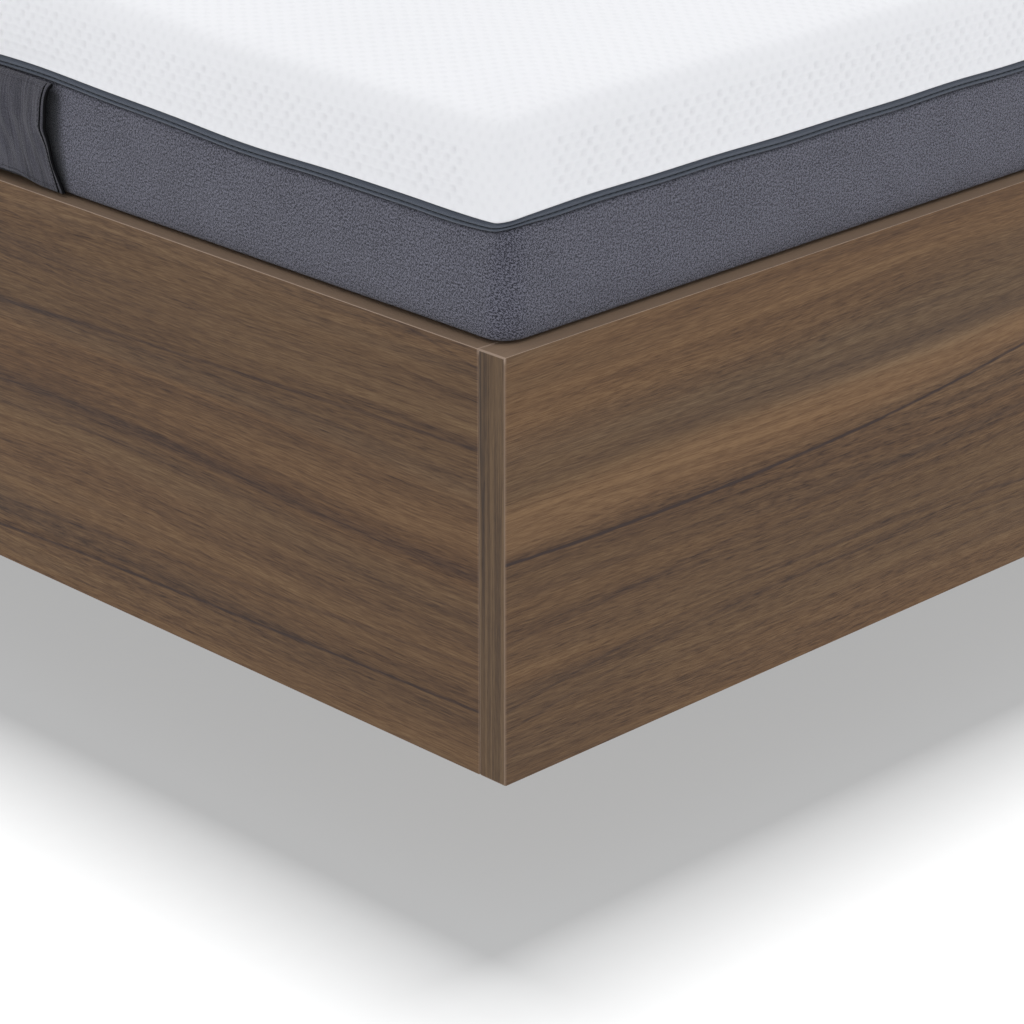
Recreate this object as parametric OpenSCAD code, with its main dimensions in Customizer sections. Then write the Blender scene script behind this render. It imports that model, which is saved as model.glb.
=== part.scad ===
// Platform bed with storage drawers.
// Four panels float on a recessed plinth, and hold a slatted base with a foam mattress let in.
// Under the long sides, four drawers run on telescopic runners between the partitions.
// +X is the right-hand long side seen from the foot, +Y points to the head, +Z is up.
// The origin is on the floor under the middle of the bed. All sizes are in millimetres.

/* [Mattress] */
// Width of the mattress
mattress_w = 1600; // [1400:10:1920]
// Length of the mattress
mattress_l = 2000; // [1660:1:2300]
// Height of the mattress
mattress_h = 235; // [200:1:300]
// Depth that the mattress lies below the boards' top edges
mattress_sink = 80; // [60:1:100]
// Gap between the mattress and the boards, on each side
mattress_fit = 3; // [1:0.5:10]
// Radius of the mattress's upright corners
corner_r = 16; // [10:1:60]
// How far the long sides swell over the boards' inner edges
side_swell = 6; // [0:0.5:12]
// How far the ends swell over the boards' inner edges
end_swell = 9; // [0:0.5:12]
// Height of the top cover's border, from the zip to the top
top_border_h = 67; // [50:1:90]
// Height of the zip's two tapes together
zip_h = 8; // [6:0.5:12]
// Thickness of the covers
cover_t = 2.5; // [1:0.5:5]

/* [Handles] */
// Width of a handle
handle_w = 110; // [80:1:150]
// Distance from a corner of the frame to the nearer edge of a handle
handle_from_corner = 490; // [300:5:600]
// How far a handle's slack stands out from the mattress
handle_slack = 12; // [6:1:15]
// Thickness of a handle
handle_t = 2.5; // [1.5:0.5:4]

/* [Boards] */
// Thickness of the side rails, foot board and head board
board_t = 25; // [19:1:40]
// Height of the side rails, foot board and head board
board_h = 312; // [260:1:420]
// Height of the boards' lower edges above the floor
floor_gap = 115; // [80:1:180]

/* [Base] */
// Thickness of the base panels
base_t = 16; // [16:1:25]
// Thickness of the partitions
partition_t = 18; // [15:1:25]
// Thickness of the plinth boards
plinth_t = 18; // [16:1:30]
// Distance from the frame's faces back to the plinth
plinth_inset = 240; // [150:5:350]
// Diameter of a glide
glide_d = 17; // [14:1:18]
// Height of a glide
glide_h = 6; // [4:1:15]

/* [Slats] */
// Number of slats on each half of the bed
slat_count = 17; // [12:1:20]
// Width of a slat
slat_w = 70; // [50:1:80]
// Thickness of the slats
slat_t = 18; // [15:1:22]
// Width of the cleats that carry the slats' outer ends
cleat_w = 30; // [20:1:40]
// Height of the cleats
cleat_h = 40; // [35:1:50]
// Width of the bearer under the slats' inner ends
bearer_w = 60; // [40:1:80]
// Thickness of the bearer
bearer_t = 18; // [15:1:25]
// Width of the webbing bands that space the slats
webbing_w = 20; // [15:1:30]
// Thickness of the webbing bands
webbing_t = 1.5; // [1:0.1:2]

/* [Drawers] */
// Length of the plain panel between the foot's outer face and the first drawer
foot_panel = 600; // [500:1:720]
// Length of the plain panel between the last drawer and the head's outer face
head_panel = 407; // [300:1:500]
// Gap round each drawer front
front_gap = 3; // [2:0.5:5]
// Height of the side rails above the drawers
upper_rail_h = 122; // [115:1:150]
// Thickness of the drawers' sides and backs
box_side_t = 15; // [12:1:18]
// Thickness of the drawers' bottoms
box_bottom_t = 8; // [5:1:10]
// Height of the groove for the bottom above a side's lower edge
groove_rise = 10; // [8:1:14]
// Depth of the groove for the bottom
groove_depth = 7; // [5:1:8]
// Gap between the base and the drawers' sides
box_floor_gap = 8; // [5:1:15]
// Gap between the drawers' sides and the cleats
box_top_gap = 20; // [12:1:30]
// Depth of the finger space behind a drawer front's lower edge
grip_gap = 35; // [25:1:45]

/* [Runners] */
// Length of the telescopic runners, which is also the drawers' travel
runner_len = 600; // [500:10:720]
// How much deeper the drawers are than their runners
runner_margin = 50; // [30:5:60]
// Space that a runner takes between a drawer and a partition
runner_space = 13; // [13:0.1:14]
// Height of the runners' fixed members
runner_h = 45; // [40:1:50]
// Thickness of the runners' sheet steel
runner_gauge = 1.2; // [1:0.1:1.5]

/* [Fasteners] */
// Length of the legs of a corner bracket
bracket_leg = 40; // [36:1:50]
// Thickness of a corner bracket
bracket_t = 3; // [2:0.5:4]
// Height of a corner bracket
bracket_h = 100; // [80:1:110]
// Diameter of the bolts in the corner brackets
bolt_d = 6; // [5:0.5:8]
// Length of those bolts in the boards
bolt_depth = 15; // [12:1:16]
// Diameter of a connector's cam
cam_d = 15; // [12:1:16]
// Distance from a panel's edge to the middle of a cam
cam_back = 34; // [24:1:40]
// Diameter of a connector's pin
cam_pin_d = 7; // [5:1:8]
// Diameter of the screws in the base
screw_d = 5; // [4:0.5:6]
// Length of those screws
screw_len = 50; // [40:1:60]

/* [Hidden] */
$fn = 48;

// Clearances
rest_gap = 0.5;         // between soft pieces and what they touch
bore_clear = 0.05;      // between a fastener and its hole, on the radius
bracket_clear = 0.3;    // between a bolt and its hole in a bracket, on the radius
lap_clear = 0.25;       // on each face of a half-lap joint
partition_clear = 4;    // between the partitions and the cleats
front_clear = 3;        // between the middle partition and the drawer fronts
swell_clear = 2;        // between the mattress's swell and the boards' top edges
end_slat_gap = 25;      // between the first or last slat and an end board
cut = 1;                // how far a cutting solid runs past a face

// Frame
inner_w = mattress_w + 2 * mattress_fit;
inner_l = mattress_l + 2 * mattress_fit;
outer_w = inner_w + 2 * board_t;
outer_l = inner_l + 2 * board_t;
board_top = floor_gap + board_h;
base_top = floor_gap + base_t;

// Slatted base, counted down from the boards' top edges
slat_top = board_top - mattress_sink;
slat_z = slat_top - slat_t;
cleat_z = slat_z - cleat_h;
bearer_z = slat_z - bearer_t;
partition_top = cleat_z - partition_clear;
slat_end_gap = 3;
slat_len = inner_w / 2 - 2 * slat_end_gap;
slat_first = inner_l / 2 - slat_w / 2 - end_slat_gap;
slat_pitch = 2 * slat_first / (slat_count - 1);

// Drawer bays: the two fronts fill the notch between the rail's plain panels
notch_y0 = foot_panel - outer_l / 2;
notch_y1 = outer_l / 2 - head_panel;
notch_len = notch_y1 - notch_y0;
front_w = (notch_len - 3 * front_gap) / 2;
notch_mid = (notch_y0 + notch_y1) / 2;
notch_top = board_top - upper_rail_h;
front_top = notch_top - front_gap;
bay_w = (notch_len - partition_t) / 2;
foot_bay = -1;
head_bay = 1;
function bay_y(bay) = notch_mid + bay * (bay_w + partition_t) / 2;
function front_y(bay) = notch_mid + bay * (front_w + front_gap) / 2;
cross_foot_y = notch_y0 - partition_t / 2;
cross_head_y = notch_y1 + partition_t / 2;

// Drawer boxes
box_back = inner_w / 2 - runner_len - runner_margin;
box_w = bay_w - 2 * runner_space;
box_z = base_top + box_floor_gap;
box_top = cleat_z - box_top_gap;
bottom_z = box_z + groove_rise;
bottom_top = bottom_z + box_bottom_t;
groove_fit = 0.2;

// Runners: three channels, one inside the other
runner_z = (box_z + box_top) / 2;
runner_setback = 5;
runner_x = inner_w / 2 - runner_setback - runner_len;
cabinet_flange = 9;
middle_offset = 2.6;
middle_inset = 3.5;
middle_flange = 7.6;
drawer_inset = 9;
drawer_flange = 6;

// Plinth
plinth_x = outer_w / 2 - plinth_inset;
plinth_y = outer_l / 2 - plinth_inset;
glide_pin_d = 6;
glide_pin_len = 12;

// Mattress
mattress_z = slat_top + rest_gap;
mattress_top = slat_top + mattress_h;
swell_z = board_top + swell_clear;
zip_top = mattress_top - top_border_h;
zip_z = zip_top - zip_h;
zip_proud = 0.8;
foam_wall = 25;
foam_floor = 15;
foam_layer = 14;
handle_y = outer_l / 2 - handle_from_corner - handle_w / 2;
handle_steps = 16;
slider_w = 9;
slider_t = 3;
puller_w = 6;
puller_t = 1.4;
puller_len = 24;

// Fasteners
head_h = 4;
bolt_head_d = 12;
bracket_z = (base_top + cleat_z) / 2 - bracket_h / 2;
bolt_rise = 25;
bolt_share = 0.6;       // of a bracket's leg, from the corner to its bolts
cam_h = 12.5;
cam_pin_depth = 10;
screw_head_d = 9;
screw_head_h = 3.5;

// Colours
walnut = [0.40, 0.31, 0.25];
birch = [0.80, 0.70, 0.54];
pine = [0.84, 0.71, 0.50];
graphite = [0.13, 0.13, 0.14];
zinc = [0.72, 0.73, 0.75];
grey_knit = [0.35, 0.35, 0.39];
white_knit = [0.92, 0.92, 0.93];
zip_tape = [0.33, 0.37, 0.38];
foam = [0.90, 0.86, 0.70];

// ---- Helpers ----

// A block from its lowest to its highest corner
module block(low, high) {
    translate(low) cube(high - low);
}

// The children and their mirror image on the left-hand side
module both_sides() {
    children();
    mirror([1, 0, 0]) children();
}

// The children and their mirror image at the other end
module both_ends() {
    children();
    mirror([0, 1, 0]) children();
}

module on_left() {
    mirror([1, 0, 0]) children();
}

module at_head() {
    mirror([0, 1, 0]) children();
}

// A block with round upright corners, centred on Z
module round_slab(w, l, r, z0, z1) {
    translate([0, 0, z0]) linear_extrude(z1 - z0) {
        square([w - 2 * r, l], center = true);
        square([w, l - 2 * r], center = true);
        for (x = [-1, 1], y = [-1, 1]) translate([x * (w / 2 - r), y * (l / 2 - r)]) circle(r);
    }
}

// The radius of the mattress's corners at an inset, which a deep inset limits
function inner_r(inset) = max(corner_r - inset, 1);

// The mattress's outer form, all in by the inset, between two heights
module mattress_form(inset, z0, z1) {
    step_z = swell_z + max(inset, 0);
    if (z0 < step_z)
        round_slab(mattress_w - 2 * inset, mattress_l - 2 * inset, inner_r(inset), z0, min(z1, step_z));
    if (z1 > step_z)
        round_slab(inner_w + 2 * (side_swell - inset), inner_l + 2 * (end_swell - inset),
            inner_r(inset), max(z0, step_z), z1);
}

// A sheet-steel channel along +X that opens towards +Y, centred on its height
module channel(height, flange) {
    block([0, 0, -height / 2], [runner_len, runner_gauge, height / 2]);
    for (side = [-1, 1]) translate([0, 0, side * (height - runner_gauge) / 2])
        block([0, 0, -runner_gauge / 2], [runner_len, flange, runner_gauge / 2]);
}

// A headed fastener along +Z, with the underside of its head at the origin
module fastener(shank_d, shank_len, head_d, head_len) {
    cylinder(d = shank_d, h = shank_len);
    translate([0, 0, -head_len]) cylinder(d = head_d, h = head_len);
}

// ---- Fastener sites, shared by the fasteners and their holes ----

// Bolts of the corner brackets: +Z points from the bracket's face into a board
module bolt_sites() {
    for (z = [bracket_z + bolt_rise, bracket_z + bracket_h - bolt_rise]) both_ends() both_sides() {
        translate([inner_w / 2 - bracket_t, bracket_leg * bolt_share - inner_l / 2, z])
            rotate([0, 90, 0]) children();
        translate([inner_w / 2 - bracket_leg * bolt_share, bracket_t - inner_l / 2, z])
            rotate([90, 0, 0]) children();
    }
}

// Panel connectors: +X points across the joint, from the base panel into a board
module cam_sites() {
    foot_len = notch_y0 - partition_t + inner_l / 2;
    head_len = inner_l / 2 - notch_y1 - partition_t;
    both_sides() for (share = [1 / 4, 3 / 4]) {
        translate([inner_w / 2, share * foot_len - inner_l / 2, 0]) children();
        translate([inner_w / 2, inner_l / 2 - share * head_len, 0]) children();
    }
    both_ends() both_sides() for (share = [1 / 8, 3 / 8])
        translate([share * inner_w, -inner_l / 2, 0]) rotate([0, 0, -90]) children();
}

// Screws up through the base into the partitions: +Z points up from the heads' undersides
module partition_screw_sites() {
    z = floor_gap + screw_head_h;
    both_sides() for (share = [0.15, 0.5, 0.85], y = [cross_foot_y, notch_mid, cross_head_y])
        translate([share * inner_w / 2, y, z]) children();
    for (share = [-0.45, -0.15, 0.15, 0.45]) translate([0, share * inner_l, z]) children();
}

// Screws down through the base into the plinth: +Z points down from the heads' undersides
module plinth_screw_sites() {
    z = base_top - screw_head_h;
    for (x = [plinth_t / 2 - plinth_x, 0, plinth_x - plinth_t / 2], share = [-0.7, -0.25, 0.25, 0.7])
        translate([x, share * plinth_y, z]) rotate([180, 0, 0]) children();
}

module bolt_holes() {
    bolt_sites() cylinder(d = bolt_d + 2 * bore_clear, h = bracket_t + bolt_depth + bore_clear);
}

module cam_pin_holes() {
    cam_sites() translate([-cam_back, 0, floor_gap + base_t / 2]) rotate([0, 90, 0])
        cylinder(d = cam_pin_d + 2 * bore_clear, h = cam_back + cam_pin_depth + bore_clear);
}

module cam_holes() {
    cam_sites() translate([-cam_back, 0, floor_gap - cut])
        cylinder(d = cam_d + 2 * bore_clear, h = cam_h + cut + bore_clear);
}

module screw_holes() {
    partition_screw_sites() fastener(screw_d + 2 * bore_clear, screw_len, screw_head_d, screw_head_h + cut);
    plinth_screw_sites() fastener(screw_d + 2 * bore_clear, screw_len, screw_head_d, screw_head_h + cut);
}

// ---- Boards ----

module end_board() {
    color(walnut) difference() {
        block([-outer_w / 2, -outer_l / 2, floor_gap], [outer_w / 2, -inner_l / 2, board_top]);
        bolt_holes();
        cam_pin_holes();
    }
}

// One board whose lower edge is cut away for the two drawer fronts
module side_rail() {
    color(walnut) difference() {
        block([inner_w / 2, -inner_l / 2, floor_gap], [outer_w / 2, inner_l / 2, board_top]);
        block([inner_w / 2 - cut, notch_y0, floor_gap - cut], [outer_w / 2 + cut, notch_y1, notch_top]);
        bolt_holes();
        cam_pin_holes();
    }
}

// ---- Base ----

module base_panel(y0, y1) {
    color(birch) difference() {
        block([-inner_w / 2, y0, floor_gap], [inner_w / 2, y1, base_top]);
        both_sides() for (bay = [foot_bay, head_bay]) grip_cutout(bay);
        both_sides() middle_partition_end();
        cam_holes();
        cam_pin_holes();
        screw_holes();
    }
}

// The base stops short of a drawer front, so that fingers reach behind its lower edge
module grip_cutout(bay) {
    block([inner_w / 2 - grip_gap, bay_y(bay) - bay_w / 2, floor_gap - cut],
        [inner_w / 2 + cut, bay_y(bay) + bay_w / 2, base_top + cut]);
}

// The base and the middle partition stop just behind the drawer fronts
module middle_partition_end() {
    block([inner_w / 2 - front_clear, notch_mid - partition_t, floor_gap - cut],
        [inner_w / 2 + cut, notch_mid + partition_t, partition_top + cut]);
}

module base_panel_foot() {
    base_panel(-inner_l / 2, notch_y0 - partition_t);
}

module base_panel_middle() {
    base_panel(notch_y0 - partition_t, notch_y1 + partition_t);
}

module base_panel_head() {
    base_panel(notch_y1 + partition_t, inner_l / 2);
}

// Upright board along the bed, slotted from above for the cross partitions
module centre_partition() {
    slot_half = partition_t / 2 + lap_clear;
    slot_z = (base_top + partition_top) / 2;
    color(birch) difference() {
        block([-partition_t / 2, -inner_l / 2, base_top], [partition_t / 2, inner_l / 2, bearer_z]);
        for (y = [cross_foot_y, notch_mid, cross_head_y])
            block([-partition_t, y - slot_half, slot_z], [partition_t, y + slot_half, bearer_z + cut]);
        screw_holes();
    }
}

// Upright board across the bed, slotted from below for the centre partition
module cross_partition(y) {
    slot_half = partition_t / 2 + lap_clear;
    slot_z = (base_top + partition_top) / 2 + lap_clear;
    color(birch) difference() {
        block([-inner_w / 2, y - partition_t / 2, base_top],
            [inner_w / 2, y + partition_t / 2, partition_top]);
        block([-slot_half, y - partition_t, base_top - cut], [slot_half, y + partition_t, slot_z]);
        both_sides() middle_partition_end();
        screw_holes();
    }
}

// ---- Plinth ----

module plinth_board(low, high) {
    color(graphite) difference() {
        block(low, high);
        screw_holes();
        glide_sites() cylinder(d = glide_pin_d + 2 * bore_clear, h = glide_h + glide_pin_len + bore_clear);
    }
}

module glide_sites() {
    for (x = [plinth_t / 2 - plinth_x, 0, plinth_x - plinth_t / 2], share = [-0.9, -0.3, 0.3, 0.9])
        translate([x, share * plinth_y, 0]) children();
}

module plinth_right() {
    plinth_board([plinth_x - plinth_t, -plinth_y, glide_h], [plinth_x, plinth_y, floor_gap]);
}

module plinth_centre() {
    plinth_board([-plinth_t / 2, plinth_t - plinth_y, glide_h],
        [plinth_t / 2, plinth_y - plinth_t, floor_gap]);
}

module plinth_foot() {
    plinth_board([plinth_t - plinth_x, -plinth_y, glide_h],
        [plinth_x - plinth_t, plinth_t - plinth_y, floor_gap]);
}

module glides() {
    color(graphite) glide_sites() {
        cylinder(d = glide_d, h = glide_h);
        cylinder(d = glide_pin_d, h = glide_h + glide_pin_len);
    }
}

// ---- Slatted base ----

module slat_cleats() {
    color(pine) both_sides()
        block([inner_w / 2 - cleat_w, -inner_l / 2, cleat_z], [inner_w / 2, inner_l / 2, slat_z]);
}

module centre_bearer() {
    color(pine) block([-bearer_w / 2, -inner_l / 2, bearer_z], [bearer_w / 2, inner_l / 2, slat_z]);
}

module slats() {
    color(pine) for (i = [0 : slat_count - 1])
        translate([slat_end_gap, i * slat_pitch - slat_first, slat_z])
            block([0, -slat_w / 2, 0], [slat_len, slat_w / 2, slat_t]);
}

module slat_webbing() {
    reach = slat_first + slat_w / 2;
    color(white_knit) both_sides() for (share = [1 / 4, 3 / 4]) translate([share * inner_w / 2, 0, slat_z])
        block([-webbing_w / 2, -reach, -webbing_t], [webbing_w / 2, reach, 0]);
}

// ---- Fasteners ----

module corner_brackets() {
    color(zinc) both_ends() both_sides() difference() {
        translate([inner_w / 2, -inner_l / 2, bracket_z]) union() {
            block([-bracket_t, 0, 0], [0, bracket_leg, bracket_h]);
            block([-bracket_leg, 0, 0], [0, bracket_t, bracket_h]);
        }
        bolt_sites() cylinder(d = bolt_d + 2 * bracket_clear, h = 3 * bracket_t, center = true);
    }
}

module corner_bolts() {
    color(zinc) bolt_sites() fastener(bolt_d, bracket_t + bolt_depth, bolt_head_d, head_h);
}

module base_cams() {
    color(zinc) cam_sites() translate([-cam_back, 0, floor_gap]) cylinder(d = cam_d, h = cam_h);
}

module base_cam_pins() {
    color(zinc) cam_sites() translate([cam_d / 2 - cam_back, 0, floor_gap + base_t / 2]) rotate([0, 90, 0])
        cylinder(d = cam_pin_d, h = cam_back - cam_d / 2 + cam_pin_depth);
}

module base_screws() {
    head_d = screw_head_d - 2 * bore_clear;
    color(zinc) {
        partition_screw_sites() fastener(screw_d, screw_len - cut, head_d, screw_head_h);
        plinth_screw_sites() fastener(screw_d, screw_len - cut, head_d, screw_head_h);
    }
}

// ---- Runners ----

// Places a runner's member on both walls of a right-hand bay
module runner_pair(bay) {
    translate([runner_x, bay_y(bay), runner_z]) both_ends() children();
}

module runner_cabinet_members() {
    color(zinc) both_sides() for (bay = [foot_bay, head_bay]) runner_pair(bay)
        translate([0, -bay_w / 2, 0]) channel(runner_h, cabinet_flange);
}

module runner_middle(bay) {
    color(zinc) runner_pair(bay)
        translate([0, middle_offset - bay_w / 2, 0]) channel(runner_h - 2 * middle_inset, middle_flange);
}

module drawer_runners(bay) {
    color(zinc) runner_pair(bay)
        translate([0, -box_w / 2, 0]) mirror([0, 1, 0]) channel(runner_h - 2 * drawer_inset, drawer_flange);
}

// ---- Drawers: each module draws the piece of a right-hand drawer ----

module drawer_front(bay) {
    color(walnut) difference() {
        translate([inner_w / 2, front_y(bay), 0])
            block([0, -front_w / 2, floor_gap], [board_t, front_w / 2, front_top]);
        bottom_groove(bay);
    }
}

// The groove that the drawer's bottom slides into, in its front and sides
module bottom_groove(bay) {
    reach = box_w / 2 - box_side_t + groove_depth + groove_fit;
    translate([0, bay_y(bay), 0])
        block([box_back - cut, -reach, bottom_z - groove_fit],
            [inner_w / 2 + groove_depth + groove_fit, reach, bottom_top + groove_fit]);
}

module drawer_sides(bay) {
    color(birch) difference() {
        translate([0, bay_y(bay), 0]) both_ends()
            block([box_back, -box_w / 2, box_z], [inner_w / 2, box_side_t - box_w / 2, box_top]);
        bottom_groove(bay);
    }
}

module drawer_back(bay) {
    reach = box_w / 2 - box_side_t;
    color(birch) translate([0, bay_y(bay), 0])
        block([box_back, -reach, bottom_top], [box_back + box_side_t, reach, box_top]);
}

module drawer_bottom(bay) {
    reach = box_w / 2 - box_side_t + groove_depth;
    color(birch) translate([0, bay_y(bay), 0])
        block([box_back, -reach, bottom_z], [inner_w / 2 + groove_depth, reach, bottom_top]);
}

// ---- Mattress ----

// The foam core, hollowed from above so that it weighs what light foam weighs
module mattress_foam_core() {
    foam_inset = cover_t + rest_gap;
    core_z = mattress_z + foam_inset;
    core_top = mattress_top - foam_inset - foam_layer;
    color(foam) difference() {
        mattress_form(foam_inset, core_z, core_top);
        mattress_form(foam_inset + foam_wall, core_z + foam_floor, core_top + cut);
    }
}

module mattress_foam_layer() {
    foam_inset = cover_t + rest_gap;
    top = mattress_top - foam_inset;
    color(foam) mattress_form(foam_inset, top - foam_layer, top);
}

module mattress_lower_cover() {
    color(grey_knit) difference() {
        mattress_form(0, mattress_z, zip_z);
        mattress_form(cover_t, mattress_z + cover_t, zip_z + cut);
    }
}

module mattress_top_cover() {
    color(white_knit) difference() {
        mattress_form(0, zip_top, mattress_top);
        mattress_form(cover_t, zip_top - cut, mattress_top - cover_t);
    }
}

module mattress_zip() {
    color(zip_tape) difference() {
        mattress_form(-zip_proud, zip_z, zip_top);
        mattress_form(cover_t, zip_z - cut, zip_top + cut);
    }
}

// The slider and its pull tab, parked at the middle of the head end
module mattress_zip_slider() {
    face_y = inner_l / 2 + end_swell + zip_proud;
    slider_z = zip_z + zip_h / 2;
    color(zinc) translate([0, face_y, slider_z]) {
        block([-slider_w / 2, 0, -slider_w / 2], [slider_w / 2, slider_t, slider_w / 2]);
        block([-puller_w / 2, slider_t - puller_t, -puller_len], [puller_w / 2, slider_t, 0]);
    }
}

// Slack straps on the long sides, sewn in under the zip and tucked in above the rails
module mattress_handles() {
    strap_top = zip_z - rest_gap;
    strap_foot = swell_z + rest_gap;
    rise = strap_top - strap_foot;
    outline = [for (i = [0 : handle_steps]) let (t = i / handle_steps)
        [handle_slack * sin(180 * t), strap_foot + rise * t]];
    back = [for (i = [handle_steps : -1 : 0]) outline[i] + [handle_t, 0]];
    color(grey_knit) both_ends() both_sides()
        translate([inner_w / 2 + side_swell, handle_w / 2 - handle_y, 0])
            rotate([90, 0, 0]) linear_extrude(handle_w) polygon(concat(outline, back));
}

end_board();  // foot_board
at_head() end_board();  // head_board
on_left() side_rail();  // side_rail_left
side_rail();  // side_rail_right
base_panel_foot();
base_panel_middle();
base_panel_head();
centre_partition();
cross_partition(cross_foot_y);  // cross_partition_foot
cross_partition(notch_mid);  // cross_partition_middle
cross_partition(cross_head_y);  // cross_partition_head
on_left() plinth_right();  // plinth_left
plinth_right();
plinth_centre();
plinth_foot();
at_head() plinth_foot();  // plinth_head
glides();
slat_cleats();
centre_bearer();
on_left() slats();  // slats_left
slats();  // slats_right
slat_webbing();
corner_brackets();
corner_bolts();
base_cams();
base_cam_pins();
base_screws();
runner_cabinet_members();
on_left() runner_middle(foot_bay);  // runner_middle_left_foot
on_left() runner_middle(head_bay);  // runner_middle_left_head
runner_middle(foot_bay);  // runner_middle_right_foot
runner_middle(head_bay);  // runner_middle_right_head
on_left() drawer_front(foot_bay);  // drawer_front_left_foot
on_left() drawer_sides(foot_bay);  // drawer_sides_left_foot
on_left() drawer_back(foot_bay);  // drawer_back_left_foot
on_left() drawer_bottom(foot_bay);  // drawer_bottom_left_foot
on_left() drawer_runners(foot_bay);  // drawer_runners_left_foot
on_left() drawer_front(head_bay);  // drawer_front_left_head
on_left() drawer_sides(head_bay);  // drawer_sides_left_head
on_left() drawer_back(head_bay);  // drawer_back_left_head
on_left() drawer_bottom(head_bay);  // drawer_bottom_left_head
on_left() drawer_runners(head_bay);  // drawer_runners_left_head
drawer_front(foot_bay);  // drawer_front_right_foot
drawer_sides(foot_bay);  // drawer_sides_right_foot
drawer_back(foot_bay);  // drawer_back_right_foot
drawer_bottom(foot_bay);  // drawer_bottom_right_foot
drawer_runners(foot_bay);  // drawer_runners_right_foot
drawer_front(head_bay);  // drawer_front_right_head
drawer_sides(head_bay);  // drawer_sides_right_head
drawer_back(head_bay);  // drawer_back_right_head
drawer_bottom(head_bay);  // drawer_bottom_right_head
drawer_runners(head_bay);  // drawer_runners_right_head
mattress_foam_core();
mattress_foam_layer();
mattress_lower_cover();
mattress_top_cover();
mattress_zip();
mattress_zip_slider();
mattress_handles();
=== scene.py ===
import math

import bpy
import numpy as np
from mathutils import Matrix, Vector, noise
from mathutils.kdtree import KDTree


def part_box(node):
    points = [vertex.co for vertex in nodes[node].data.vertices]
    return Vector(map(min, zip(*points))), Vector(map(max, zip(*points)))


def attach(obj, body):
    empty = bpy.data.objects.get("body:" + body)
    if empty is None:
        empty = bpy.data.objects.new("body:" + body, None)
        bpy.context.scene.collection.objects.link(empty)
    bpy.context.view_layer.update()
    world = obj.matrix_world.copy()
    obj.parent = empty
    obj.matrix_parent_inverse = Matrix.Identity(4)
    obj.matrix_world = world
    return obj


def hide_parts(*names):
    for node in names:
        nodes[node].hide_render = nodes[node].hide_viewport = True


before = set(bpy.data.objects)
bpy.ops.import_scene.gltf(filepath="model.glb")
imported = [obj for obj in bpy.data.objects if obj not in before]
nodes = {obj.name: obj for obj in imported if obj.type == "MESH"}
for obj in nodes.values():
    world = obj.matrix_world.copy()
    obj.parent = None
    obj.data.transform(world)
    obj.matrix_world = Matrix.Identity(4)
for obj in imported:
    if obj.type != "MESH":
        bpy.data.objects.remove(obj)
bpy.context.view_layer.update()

scene = bpy.context.scene
MM = 0.001


# ---------------------------------------------------------------- materials

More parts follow.
